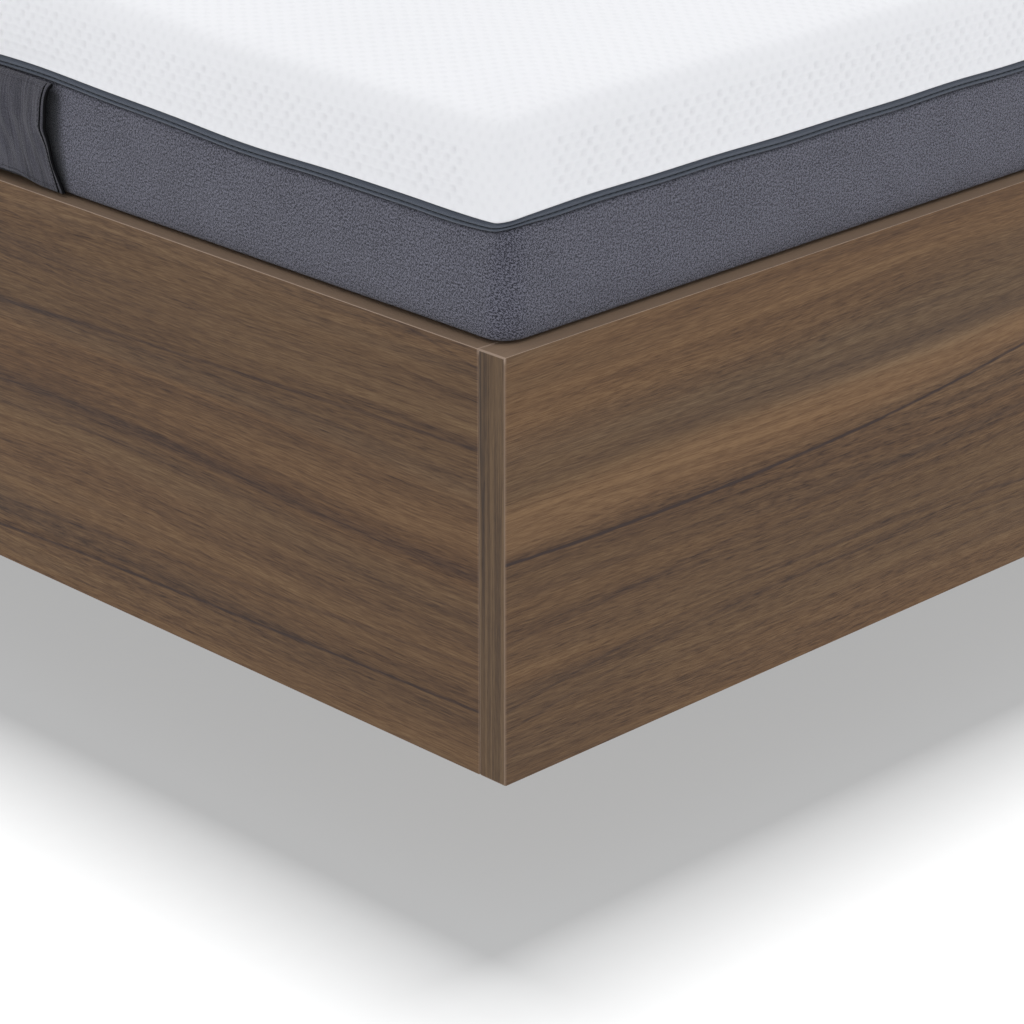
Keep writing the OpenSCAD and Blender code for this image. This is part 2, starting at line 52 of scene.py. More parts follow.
class Look:
    """Builds one procedural material. Sockets and plain numbers can be mixed in every call."""

    def __init__(self, name, **constants):
        self.material = bpy.data.materials.new(name)
        self.material.use_nodes = True
        self.tree = self.material.node_tree
        self.shader = self.tree.nodes["Principled BSDF"]
        for socket, value in constants.items():
            self.shader.inputs[socket.replace("_", " ")].default_value = value

    def put(self, socket, value):
        if isinstance(value, bpy.types.NodeSocket):
            self.tree.links.new(value, socket)
        elif isinstance(value, tuple) and len(value) == 3 and socket.type == "RGBA":
            socket.default_value = (*value, 1.0)
        else:
            socket.default_value = value

    def node(self, kind, inputs=(), **settings):
        made = self.tree.nodes.new("ShaderNode" + kind)
        for key, value in settings.items():
            setattr(made, key, value)
        for key, value in dict(inputs).items():
            self.put(made.inputs[key], value)
        return made

    def math(self, operation, a, b=0.0, c=0.0, clamp=False):
        return self.node("Math", {0: a, 1: b, 2: c}, operation=operation, use_clamp=clamp).outputs[0]

    def add(self, *terms):
        total = terms[0]
        for term in terms[1:]:
            total = self.math("ADD", total, term)
        return total

    def times(self, *factors):
        total = factors[0]
        for factor in factors[1:]:
            total = self.math("MULTIPLY", total, factor)
        return total

    def less(self, a, b):
        return self.math("SUBTRACT", a, b)

    def sway(self, value, amount):
        """A value around 0.5 as a swing of that amount around 0."""
        return self.times(self.less(value, 0.5), amount)

    def wave(self, value, period, kind="SINE"):
        return self.math(kind, self.times(value, 2 * math.pi / period))

    def scaled(self, value, low, high, **settings):
        """A noise value around 0.5 spread out so that low becomes 0 and high becomes 1."""
        return self.node("MapRange", {0: value, 1: low, 2: high, 3: 0.0, 4: 1.0}, **settings).outputs[0]

    def step(self, value, low, high):
        return self.scaled(value, low, high, interpolation_type="SMOOTHSTEP")

    def mix(self, factor, a, b):
        return self.node("Mix", {0: factor, 6: a, 7: b}, data_type="RGBA").outputs[2]

    def vector(self, x, y, z=0.0):
        return self.node("CombineXYZ", {0: x, 1: y, 2: z}).outputs[0]

    def noise(self, vector, scale=1.0, detail=2.0, rough=0.5, distortion=0.0):
        made = self.node("TexNoise", {"Vector": vector, "Scale": scale, "Detail": detail, "Roughness": rough,
                                      "Distortion": distortion})
        return made.outputs[0]

    def streaks(self, u, v, seed, across, along, detail=2.0, rough=0.5):
        """Noise drawn out along u. across and along are how many changes there are in a metre."""
        return self.noise(self.vector(self.times(u, along), self.times(v, across), seed), 1.0, detail, rough)

    def ramp(self, value, *stops):
        made = self.node("ValToRGB", {0: value})
        ends = made.color_ramp.elements
        while len(ends) < len(stops):
            ends.new(0.5)
        for end, (place, colour) in zip(ends, stops):
            end.position = place
            end.color = (*colour, 1.0)
        return made.outputs[0]

    def place(self):
        """Place in the row frame, in metres, as three sockets."""
        split = self.node("SeparateXYZ", {0: self.node("TexCoord").outputs["Object"]})
        return split.outputs[0], split.outputs[1], split.outputs[2]

    def facing(self):
        """How much the surface faces each axis, as three sockets from 0 to 1."""
        split = self.node("SeparateXYZ", {0: self.node("NewGeometry").outputs["True Normal"]})
        return tuple(self.math("ABSOLUTE", split.outputs[i]) for i in range(3))

    def flow(self):
        """The cloth's own coordinates in metres: round the mattress or across, and up or along."""
        split = self.node("SeparateXYZ", {0: self.node("UVMap", uv_map="UVMap").outputs[0]})
        return split.outputs[0], split.outputs[1]

    def done(self, colour, rough, height=None, depth=0.0003, strength=1.0):
        self.put(self.shader.inputs["Base Color"], colour)
        self.put(self.shader.inputs["Roughness"], rough)
        if height is not None:
            bump = self.node("Bump", {"Strength": strength, "Distance": depth, "Height": height})
            self.put(self.shader.inputs["Normal"], bump.outputs[0])
        return self.material


def walnut(name, along, seed, veins=(), warm=None):
    """Walnut decor on a board that runs along axis 0 or 1: level grain on its faces, upright on its ends."""
    k = Look(name, Specular_IOR_Level=0.16, IOR=1.45)
    place, facing = k.place(), k.facing()
    top = k.step(facing[2], 0.6, 0.8)
    end = k.step(facing[along], 0.6, 0.8)
    edge = k.math("MINIMUM", k.add(top, end), 1.0)
    face = k.less(1.0, edge)
    u = k.add(k.times(place[along], k.less(1.0, end)), k.times(place[2], end))
    v = k.add(k.times(place[2], face), k.times(place[1 - along], edge))
    w = k.add(seed, k.times(top, 3.0), k.times(end, 7.0))
    drift = k.less(k.streaks(u, v, w, 4.0, 1.0), 0.5)
    ripple = k.less(k.streaks(u, v, k.add(w, 1.0), 24.0, 4.0), 0.5)
    tremor = k.less(k.streaks(u, v, k.add(w, 1.5), 120.0, 34.0), 0.5)
    v_grain = k.add(v, k.times(drift, 0.050), k.times(ripple, 0.006), k.times(tremor, 0.0012))

    def grain(turn, thin, long, detail=2.0, rough=0.5):
        return k.streaks(u, v_grain, k.add(w, turn), thin, long, detail, rough)

    bands = k.scaled(grain(2.0, 21.0, 0.55), 0.28, 0.72)
    medium = k.scaled(grain(3.0, 105.0, 1.8, 3.0, 0.6), 0.3, 0.7)
    fine = k.scaled(grain(4.0, 420.0, 13.0, 3.0, 0.65), 0.3, 0.7)
    fibre = k.scaled(grain(5.0, 1150.0, 64.0, 2.0, 0.6), 0.3, 0.7)
    curl = grain(6.0, 5.0, 0.9)
    ring = k.math("FRACT", k.add(k.times(v_grain, 17.0), k.times(curl, 2.2)))
    ring_gate = k.step(grain(8.0, 8.0, 0.7), 0.50, 0.62)
    late = k.add(k.times(k.step(ring, 0.55, 0.97), 0.45), k.step(ring, 0.93, 0.985))
    late = k.times(late, k.times(k.step(ring, 1.0, 0.985), ring_gate))
    small = k.math("FRACT", k.add(k.times(v_grain, 88.0), k.times(curl, 11.0)))
    late_small = k.times(k.step(small, 0.35, 1.0), k.step(grain(9.0, 10.0, 1.2), 0.47, 0.60))
    pores = k.step(grain(10.0, 900.0, 52.0, 1.0), 0.60, 0.72)
    hatch_gate = k.step(grain(12.0, 13.0, 1.1), 0.50, 0.62)
    hatch = k.times(k.step(grain(13.0, 430.0, 62.0, 3.0, 0.65), 0.46, 0.68), hatch_gate)
    tone = k.add(0.50, k.sway(bands, 0.34), k.sway(medium, 0.34), k.sway(fine, 0.22), k.sway(fibre, 0.44),
                 k.times(late, -0.24), k.times(late_small, -0.14), k.times(pores, -0.14),
                 k.times(hatch, -0.20))
    amber = k.times(k.step(grain(11.0, 13.0, 0.7), 0.42, 0.66), 0.60)
    grey_cast = k.times(k.step(grain(14.0, 15.0, 0.8), 0.50, 0.70), 0.4)
    inky = k.times(late, 0.4)
    start, shown, marks = veins or (0.0, 0.0, ())
    if marks:
        run = k.less(place[along], start)
        near = k.times(k.step(run, shown * 1.6, shown), face)
        tone = k.add(tone, k.times(late, near, 0.20))
        inky = k.times(inky, k.less(1.0, k.times(near, 0.8)))
        for height, rise, bend, width, depth, one_sided in marks:
            line = k.add(height, k.times(run, rise), k.times(run, run, bend), k.times(ripple, 0.005),
                         k.times(tremor, 0.0012))
            off = k.less(place[2], line)
            sharp = k.step(k.math("ABSOLUTE", off), width, width * 0.2)
            soft = k.times(k.step(off, width * one_sided, 0.0), k.math("GREATER_THAN", off, 0.0))
            mark = k.times(k.math("MAXIMUM", sharp, k.times(soft, 0.40)), near)
            tone = k.add(tone, k.times(mark, -depth))
            inky = k.math("MAXIMUM", inky, k.times(sharp, near, min(0.8, 1.7 * depth)))
        if warm:
            height, rise, width = warm
            off = k.math("ABSOLUTE", k.less(place[2], k.add(height, k.times(run, rise))))
            glow = k.times(k.step(off, width, width * 0.3), near)
            amber = k.add(amber, k.times(glow, 0.60))
            tone = k.add(tone, k.times(glow, 0.22))
    wood = k.ramp(tone, (0.0, (0.046, 0.028, 0.0200)), (0.25, (0.084, 0.048, 0.0285)),
                  (0.5, (0.121, 0.071, 0.0385)), (0.75, (0.155, 0.096, 0.0520)),
                  (1.0, (0.200, 0.130, 0.0700)))
    amber_wood = k.ramp(tone, (0.0, (0.053, 0.027, 0.0160)), (0.5, (0.143, 0.076, 0.0375)),
                        (1.0, (0.236, 0.134, 0.0670)))
    grey_wood = k.ramp(tone, (0.0, (0.045, 0.032, 0.0260)), (0.5, (0.115, 0.078, 0.0500)),
                       (1.0, (0.182, 0.135, 0.0890)))
    wood = k.mix(k.math("MINIMUM", amber, 1.0), wood, amber_wood)
    wood = k.mix(grey_cast, wood, grey_wood)
    wood = k.mix(k.times(inky, 0.5), wood, (0.040, 0.031, 0.036))
    # Top and bottom faces are mixed towards a lighter, greyer brown: partly the edge band's own tone, partly
    # painted light where the tops face the light.
    wood = k.mix(k.times(top, 0.72), wood, (0.268, 0.192, 0.137))
    upright = k.step(k.streaks(place[2], v, k.add(w, 15.0), 300.0, 2.6, 1.0), 0.46, 0.58)
    wood = k.mix(k.times(end, 0.45), wood, k.mix(upright, (0.150, 0.104, 0.063), (0.062, 0.046, 0.033)))
    # Bevelled arrises are painted lighter, the top arris most: a painted highlight.
    straight = k.math("MAXIMUM", k.math("MAXIMUM", facing[0], facing[1]), facing[2])
    arris_highlight = k.step(straight, 0.985, 0.9)
    on_top = k.times(arris_highlight, k.step(place[2], rail_top - 0.006, rail_top - 0.0015))
    wood = k.mix(k.add(k.times(on_top, 0.55), k.times(arris_highlight, 0.35)), wood, (0.380, 0.285, 0.225))
    rough = k.add(0.52, k.sway(medium, 0.14), k.times(late, 0.05))
    height = k.add(k.times(fine, 0.5), k.times(fibre, 0.4), k.times(pores, -0.9), k.times(late, -0.3))
    return k.done(wood, rough, height, 0.00012, 0.7)


def plywood(name, axis, thickness, start, seed):
    """Birch plywood, its thickness along an axis: rotary-cut veneer on the faces, plies on the edges."""
    k = Look(name, Specular_IOR_Level=0.4)
    place, facing = k.place(), k.facing()
    others = [i for i in range(3) if i != axis]
    u, v = place[others[0]], place[others[1]]
    if axis == 0:
        u, v = place[1], place[2]
    warp = k.times(k.less(k.streaks(u, v, seed, 4.0, 1.4), 0.5), 0.09)
    v_grain = k.add(v, warp)
    figure = k.scaled(k.streaks(u, v_grain, seed + 1.0, 22.0, 1.2, 3.0), 0.3, 0.7)
    curl = k.times(k.streaks(u, v_grain, seed + 2.0, 5.0, 1.2), 3.0)
    flame = k.math("PINGPONG", k.add(k.times(v_grain, 14.0), curl), 0.5)
    fine = k.scaled(k.streaks(u, v, seed + 3.0, 520.0, 18.0, 3.0), 0.3, 0.7)
    fleck = k.step(k.streaks(u, v, seed + 4.0, 900.0, 140.0, 0.0), 0.68, 0.76)
    tone = k.add(0.28, k.times(figure, 0.28), k.times(flame, 0.35), k.times(fine, 0.16),
                 k.times(fleck, -0.18))
    face = k.ramp(tone, (0.0, (0.42, 0.27, 0.145)), (0.5, (0.60, 0.43, 0.265)), (1.0, (0.70, 0.545, 0.37)))
    plies = round(thickness / 0.0014) | 1
    layer = k.times(k.less(place[axis], start), plies / thickness)
    odd = k.math("GREATER_THAN", k.math("FRACT", k.times(layer, 0.5)), 0.5)
    glue = k.step(k.math("PINGPONG", layer, 0.5), 0.10, 0.02)
    end_grain = k.scaled(k.noise(k.vector(*[k.times(p, 900.0) for p in place]), 1.0, 2.0), 0.3, 0.7)
    edge = k.mix(odd, (0.58, 0.42, 0.26), (0.34, 0.205, 0.11))
    edge = k.mix(k.times(end_grain, 0.25), edge, (0.28, 0.17, 0.09))
    edge = k.mix(k.times(glue, 0.7), edge, (0.15, 0.085, 0.045))
    on_face = k.step(facing[axis], 0.55, 0.8)
    on_edge = k.less(1.0, on_face)
    rough = k.add(0.42, k.times(fine, 0.12), k.times(on_edge, 0.2))
    height = k.add(k.times(fine, 0.6), k.times(fleck, -0.6), k.times(glue, on_edge, -1.5))
    return k.done(k.mix(on_face, edge, face), rough, height, 0.00015, 0.6)


def softwood(name, along, pitch, seed):
    """Planed pine. Every board across the pitch gets its own growth rings, and ends show end grain."""
    k = Look(name, Specular_IOR_Level=0.4)
    place, facing = k.place(), k.facing()
    u, across = place[along], place[1 - along]
    board = k.math("FLOOR", k.math("DIVIDE", across, pitch))
    own = k.add(seed, k.times(board, 1.73))
    depth = k.add(place[2], k.times(k.math("SINE", k.times(board, 12.9)), 0.03))
    side = k.add(across, k.times(k.math("SINE", k.times(board, 7.3)), 0.02))
    bend = k.times(k.less(k.streaks(u, across, own, 7.0, 1.1), 0.5), 0.055)
    radius = k.math("SQRT", k.add(k.math("POWER", k.add(k.less(side, k.times(board, pitch)), bend), 2.0),
                                  k.math("POWER", k.add(depth, k.times(bend, 0.8), -0.26), 2.0)))
    ring = k.math("FRACT", k.times(radius, 260.0))
    late = k.times(k.step(ring, 0.35, 0.95), k.step(ring, 1.0, 0.95))
    fine = k.scaled(k.streaks(u, across, k.add(own, 3.0), 800.0, 16.0, 3.0), 0.3, 0.7)
    cloud = k.scaled(k.streaks(u, across, k.add(own, 4.0), 14.0, 2.0), 0.3, 0.7)
    knot_field = k.noise(k.vector(k.times(u, 5.0), k.times(across, 17.0), own), 1.0, 0.0)
    knot = k.step(knot_field, 0.79, 0.83)
    tone = k.add(0.62, k.times(late, -0.34), k.sway(fine, 0.12), k.sway(cloud, 0.2))
    wood = k.ramp(tone, (0.0, (0.40, 0.19, 0.07)), (0.45, (0.62, 0.40, 0.19)), (1.0, (0.76, 0.58, 0.35)))
    wood = k.mix(k.times(knot, 0.8), wood, (0.20, 0.085, 0.03))
    ends = k.step(facing[along], 0.6, 0.8)
    wood = k.mix(k.times(ends, 0.35), wood, (0.42, 0.25, 0.12))
    rough = k.add(0.48, k.times(fine, 0.14), k.times(ends, 0.2))
    return k.done(wood, rough, k.add(k.times(fine, 0.5), k.times(late, 0.5)), 0.0002, 0.6)


def laminate():
    k = Look("black_laminate", Specular_IOR_Level=0.45)
    x, y, z = k.place()
    point = k.vector(x, y, z)
    pebble = k.noise(point, 900.0, 3.0, 0.6)
    cloud = k.noise(point, 9.0, 3.0)
    dust = k.step(k.noise(point, 260.0, 4.0, 0.7), 0.58, 0.78)
    colour = k.mix(cloud, (0.012, 0.012, 0.013), (0.026, 0.025, 0.025))
    low = k.step(z, 0.05, 0.008)
    colour = k.mix(k.times(dust, k.add(0.05, k.times(low, 0.16))), colour, (0.16, 0.15, 0.14))
    return k.done(colour, k.add(0.34, k.times(pebble, 0.25), k.times(dust, 0.12)), pebble, 0.00012, 0.5)


def plastic():
    k = Look("glide_plastic", Specular_IOR_Level=0.5)
    point = k.vector(*k.place())
    grain = k.noise(point, 1600.0, 2.0)
    scuff = k.step(k.noise(point, 210.0, 4.0, 0.7), 0.56, 0.72)
    colour = k.mix(k.times(scuff, 0.5), (0.032, 0.031, 0.030), (0.12, 0.115, 0.11))
    return k.done(colour, k.add(0.42, k.times(scuff, 0.2)), grain, 0.0001, 0.5)


def steel(name, along, seed):
    """Zinc-plated sheet steel with rolling marks along an axis."""
    k = Look(name, Metallic=1.0, Anisotropic=0.35)
    place = k.place()
    u, v = place[along], k.add(place[(along + 1) % 3], k.times(place[(along + 2) % 3], 1.37))
    rolled = k.scaled(k.streaks(u, v, seed, 2600.0, 30.0, 3.0), 0.3, 0.7)
    spangle = k.noise(k.vector(*place), 120.0, 2.0, 0.6)
    handled = k.step(k.noise(k.vector(*place), 26.0, 4.0, 0.6), 0.52, 0.7)
    tint = k.mix(spangle, (0.56, 0.575, 0.59), (0.70, 0.715, 0.73))
    tint = k.mix(k.times(handled, 0.25), tint, (0.50, 0.49, 0.44))
    rough = k.add(0.24, k.times(rolled, 0.16), k.times(handled, 0.12))
    return k.done(tint, rough, rolled, 0.00004, 0.5)


def casting():
    k = Look("zinc_casting", Metallic=1.0)
    point = k.vector(*k.place())
    skin = k.noise(point, 900.0, 4.0, 0.65)
    wear_and_strap_shade = k.step(k.noise(point, 160.0, 3.0), 0.5, 0.66)
    tint = k.mix(wear_and_strap_shade, (0.44, 0.445, 0.45), (0.62, 0.62, 0.61))
    return k.done(tint, k.add(0.36, k.times(skin, 0.22)), skin, 0.00012, 0.6)


def webbing():
    """Woven polypropylene band along Y: warp and weft cross over each other."""
    k = Look("webbing", Sheen_Weight=0.25, Sheen_Roughness=0.5, Specular_IOR_Level=0.3)
    x, y, z = k.place()
    warp = k.wave(x, 0.0016)
    weft = k.wave(y, 0.0024)
    over = k.times(warp, weft)
    fuzz = k.noise(k.vector(x, y, z), 2200.0, 3.0, 0.7)
    tone = k.add(0.5, k.times(over, 0.28), k.sway(fuzz, 0.5))
    colour = k.mix(tone, (0.22, 0.21, 0.19), (0.50, 0.48, 0.44))
    return k.done(colour, k.add(0.78, k.times(fuzz, 0.1)), tone, 0.0004, 0.8)


def melange(name, dark, light, ribs, spread, wear_and_strap_shade=False):
    """Marled charcoal jersey: short slanting light and dark yarns on a fine knitted ground."""
    k = Look(name, Sheen_Weight=0.18, Sheen_Roughness=0.45, Specular_IOR_Level=0.2)
    u, v = k.flow()
    lean = k.add(u, k.times(v, 0.55))
    yarn = k.scaled(k.streaks(lean, v, 1.0, 800.0, 1180.0, 2.0, 0.6), 0.32, 0.68)
    lean_back = k.add(u, k.times(v, -0.7))
    second = k.scaled(k.streaks(lean_back, v, 4.0, 620.0, 880.0), 0.34, 0.66)
    cloud = k.scaled(k.noise(k.vector(u, v), 24.0, 3.0, 0.6), 0.3, 0.7)
    loops = k.times(k.wave(u, 0.0017), k.wave(v, 0.0013))
    streak = k.scaled(k.streaks(u, v, 7.0, 9.0, 420.0, 3.0, 0.6), 0.3, 0.7)
    tone = k.add(0.5, k.sway(yarn, spread), k.sway(second, spread * 0.45),
                 k.sway(cloud, 0.16), k.times(loops, 0.07), k.sway(streak, ribs))
    height = k.add(k.times(yarn, 0.8), k.times(loops, 0.35), k.times(streak, ribs * 2.0))
    colour = k.mix(k.math("MINIMUM", k.math("MAXIMUM", tone, 0.0), 1.0), dark, light)
    # With the flag set, a blue-black is painted on the cover behind and beside each strap's nearer edge:
    # painted shade in the gap under the strap.
    if wear_and_strap_shade:
        x, y, z = k.place()
        down = k.math("DIVIDE", k.less(zip_bottom, z), zip_bottom - rail_top)
        outer = k.add(handle_y + 0.0605, k.times(down, 0.014))
        along = k.math("ABSOLUTE", y)
        strap_shadow = k.times(k.step(along, handle_y - 0.066, handle_y - 0.052),
                         k.step(k.less(along, outer), 0.010, -0.002),
                         k.step(k.math("ABSOLUTE", x), half_x - 0.012, half_x - 0.002),
                         k.step(down, -0.02, 0.10), 0.85)
        colour = k.mix(strap_shadow, colour, (0.007, 0.009, 0.013))
    return k.done(colour, 0.93, height, 0.0006, 0.8)


def white_knit():
    """Off-white spacer knit. Its dimples are in the mesh on the border, and fainter here on the top."""
    k = Look("white_knit", Sheen_Weight=0.15, Sheen_Roughness=0.5, Specular_IOR_Level=0.2)
    u, v = k.flow()
    upward = k.step(k.facing()[2], 0.75, 0.98)
    lattice = k.times(k.wave(u, DIMPLE_ALONG, "COSINE"), k.wave(v, 2 * DIMPLE_ROW, "COSINE"))
    dimple = k.math("MAXIMUM", lattice, 0.0)
    loops = k.times(k.wave(u, 0.0015), k.wave(v, 0.0012))
    fuzz = k.noise(k.vector(u, v), 900.0, 4.0, 0.65)
    cloud = k.noise(k.vector(u, v), 7.0, 3.0)
    height = k.add(k.times(dimple, upward, -0.9), k.times(loops, 0.08), k.times(fuzz, 0.35))
    # The colour also darkens in the dimples: painted shade in their hollows, on the border and the top alike.
    # Fuzz and cloud are the knit's own tone.
    shade = k.add(0.10, k.times(fuzz, 0.35), k.times(cloud, 0.4), k.times(dimple, -0.35))
    colour = k.mix(shade, (0.812, 0.820, 0.851), (0.892, 0.900, 0.932))
    return k.done(colour, k.add(0.9, k.times(fuzz, 0.06)), height, 0.0005, 0.8)


def zip_tape():
    k = Look("zip_tape", Sheen_Weight=0.2, Sheen_Roughness=0.4, Specular_IOR_Level=0.3)
    u, v = k.flow()
    twill = k.math("SINE", k.add(k.times(u, 2 * math.pi / 0.0016), k.times(v, 2 * math.pi / 0.0011)))
    fuzz = k.noise(k.vector(u, v), 1400.0, 3.0, 0.6)
    cloud = k.noise(k.vector(k.times(u, 30.0), k.times(v, 200.0)), 1.0, 2.0)
    tone = k.add(0.25, k.times(twill, 0.12), k.times(fuzz, 0.3), k.times(cloud, 0.2))
    colour = k.mix(tone, (0.048, 0.060, 0.079), (0.118, 0.134, 0.176))
    return k.done(colour, k.add(0.72, k.times(fuzz, 0.1)), twill, 0.0002, 0.6)


def thread(name, colour):
    k = Look(name, Sheen_Weight=0.02, Sheen_Roughness=0.4, Specular_IOR_Level=0.08)
    u, v = k.flow()
    twist = k.math("SINE", k.add(k.times(u, 2 * math.pi / 0.0012), k.times(v, 2 * math.pi / 0.0010)))
    fuzz = k.noise(k.vector(u, v), 1200.0, 2.0)
    tone = k.add(0.5, k.times(twist, 0.25), k.sway(fuzz, 0.8))
    dark, light = (tuple(c * share for c in colour) for share in (0.6, 1.5))
    return k.done(k.mix(tone, dark, light), 0.85, twist, 0.0002, 0.7)


# ---------------------------------------------------------------- mesh work

def fade(value, width):
    """0 up to 0, then a straight rise to 1 at the width."""
    return np.clip(value / width, 0, 1)


def ease(share):
    return share * share * (3 - 2 * share)


class Plan:
    """A rounded rectangle as a grid of quads, and its outline as a loop, anticlockwise from above."""

    def __init__(self, half_x, half_y, radius, cell, corner_cells):
        self.half_x, self.half_y, self.radius = half_x, half_y, radius
        self.anchor_x, share_x = self.lines(half_x, cell, corner_cells)
        self.anchor_y, share_y = self.lines(half_y, cell, corner_cells)
        self.nx, self.ny = len(share_x) - 1, len(share_y) - 1
        a, b = np.meshgrid(share_x, share_y, indexing="ij")
        self.anchors = np.stack(np.meshgrid(self.anchor_x, self.anchor_y, indexing="ij"), -1)
        self.ways = np.stack([a * np.sqrt(1 - b * b / 2), b * np.sqrt(1 - a * a / 2)], -1)
        nx, ny = self.nx, self.ny
        self.loop = [(i, 0) for i in range(nx)] + [(nx, j) for j in range(ny)]
        self.loop += [(i, ny) for i in range(nx, 0, -1)] + [(0, j) for j in range(ny, 0, -1)]
        at = np.array(self.loop)
        self.loop_anchor = self.anchors[at[:, 0], at[:, 1]]
        way = self.ways[at[:, 0], at[:, 1]]
        self.loop_way = way / np.linalg.norm(way, axis=1)[:, None]

    def lines(self, half, cell, corner_cells):
        inner = half - self.radius
        count = round(2 * inner / cell)
        shares = np.arange(1, corner_cells + 1) / corner_cells
        places = np.concatenate([np.full(corner_cells, -inner), np.linspace(-inner, inner, count + 1),
                                 np.full(corner_cells, inner)])
        return places, np.concatenate([-shares[::-1], np.zeros(count + 1), shares])

    def ring(self, offset, z):
        """The outline moved out by offset, at height z. Either can be one number or one per point."""
        count = len(self.loop)
        flat = self.loop_anchor + self.loop_way * (self.radius + np.broadcast_to(offset, count))[:, None]
        return np.column_stack([flat, np.broadcast_to(z, count)])

    def field(self, offset, z):
        """The whole grid, with its outline moved out by offset, at height z."""
        flat = self.anchors + self.ways * (self.radius + offset)
        return np.concatenate([flat.reshape(-1, 2), np.full((flat.shape[0] * flat.shape[1], 1), z)], 1)

    def cell_faces(self, first, up):
        step = self.ny + 1
        starts = [first + i * step + j for i in range(self.nx) for j in range(self.ny)]
        quads = [(at, at + step, at + step + 1, at + 1) for at in starts]
        return quads if up else [q[::-1] for q in quads]

    def loop_of_field(self, first):
        return [first + i * (self.ny + 1) + j for i, j in self.loop]

    def around(self, x, y):
        """Distance round the outline from the foot's left corner, for points near the outline."""
        ax, ay, r = self.half_x - self.radius, self.half_y - self.radius, self.radius + COVER_OUT
        cx, cy = np.clip(x, -ax, ax), np.clip(y, -ay, ay)
        turn = np.arctan2(y - cy, x - cx)
        quarter = r * math.pi / 2
        bottom, right = cx + ax, 2 * ax + quarter + cy + ay
        top, left = 2 * ax + 2 * ay + 2 * quarter + ax - cx, 4 * ax + 2 * ay + 3 * quarter + ay - cy
        out = np.where((cy == -ay) & (y < -ay) & (np.abs(x) <= ax), bottom, 0.0)
        out = np.where((x > ax) & (np.abs(y) <= ay), right, out)
        out = np.where((y > ay) & (np.abs(x) <= ax), top, out)
        out = np.where((x < -ax) & (np.abs(y) <= ay), left, out)
        out = np.where((x > ax) & (y < -ay), 2 * ax + r * (turn + math.pi / 2), out)
        out = np.where((x > ax) & (y > ay), 2 * ax + quarter + 2 * ay + r * turn, out)
        out = np.where((x < -ax) & (y > ay), 4 * ax + 2 * ay + 2 * quarter + r * (turn - math.pi / 2), out)
        out = np.where((x < -ax) & (y < -ay), 4 * ax + 4 * ay + 3 * quarter + r * (turn + math.pi), out)
        return out

    def length(self):
        return 4 * (self.half_x + self.half_y - 2 * self.radius) + 2 * math.pi * (self.radius + COVER_OUT)


def band_faces(low, high):
    n = len(low)
    return [(low[k], low[(k + 1) % n], high[(k + 1) % n], high[k]) for k in range(n)]


def make(name, points, faces, material=None, smooth=True):
    mesh = bpy.data.meshes.new(name)
    mesh.from_pydata([tuple(map(float, p)) for p in points], [], faces)
    mesh.update()
    if smooth:
        mesh.polygons.foreach_set("use_smooth", [True] * len(mesh.polygons))
    made = bpy.data.objects.new(name, mesh)
    scene.collection.objects.link(made)
    if material:
        mesh.materials.append(material)
    return made


def points_of(mesh):
    co = np.zeros(len(mesh.vertices) * 3, np.float32)
    mesh.vertices.foreach_get("co", co)
    return co.reshape(-1, 3).astype(float)


def normals_of(mesh):
    no = np.zeros(len(mesh.vertices) * 3, np.float32)
    mesh.vertices.foreach_get("normal", no)
    return no.reshape(-1, 3).astype(float)


def move_points(obj, points):
    obj.data.vertices.foreach_set("co", points.astype(np.float32).ravel())
    obj.data.update()


def refine(obj, levels):
    """Subdivides the mesh for good."""
    modifier = obj.modifiers.new("refine", "SUBSURF")
    modifier.levels = levels
    modifier.boundary_smooth = "PRESERVE_CORNERS"
    bpy.context.view_layer.update()
    shown = obj.evaluated_get(bpy.context.evaluated_depsgraph_get())
    mesh = bpy.data.meshes.new_from_object(shown)
    obj.modifiers.clear()
    obj.data = mesh
    mesh.polygons.foreach_set("use_smooth", [True] * len(mesh.polygons))


def settle(obj, held, reach, pressure=4.0):
    """Inflates a cover by cloth simulation. held is each point's pin weight, reach how far it may move."""
    group = obj.vertex_groups.new(name="held")
    for index, weight in enumerate(held):
        group.add([index], float(weight), "REPLACE")
    cloth = obj.modifiers.new("cloth", "CLOTH")
    values = cloth.settings
    values.quality = 6
    values.mass = 0.25
    values.tension_stiffness = values.compression_stiffness = 12.0
    values.shear_stiffness = 6.0
    values.bending_stiffness = 1.5
    values.vertex_group_mass = "held"
    values.use_pressure = True
    values.uniform_pressure_force = pressure
    values.effector_weights.gravity = 0.0
    cloth.collision_settings.use_collision = False
    for step in range(1, 21):
        scene.frame_set(step)
    shown = obj.evaluated_get(bpy.context.evaluated_depsgraph_get())
    rest, now = points_of(obj.data), points_of(shown.data)
    shift = now - rest
    size = np.linalg.norm(shift, axis=1)
    shift *= (np.minimum(size, reach) / np.maximum(size, 1e-9))[:, None]
    shift[~np.isfinite(shift).all(1)] = 0.0
    obj.modifiers.clear()
    obj.vertex_groups.clear()
    move_points(obj, rest + shift)
    scene.frame_set(1)


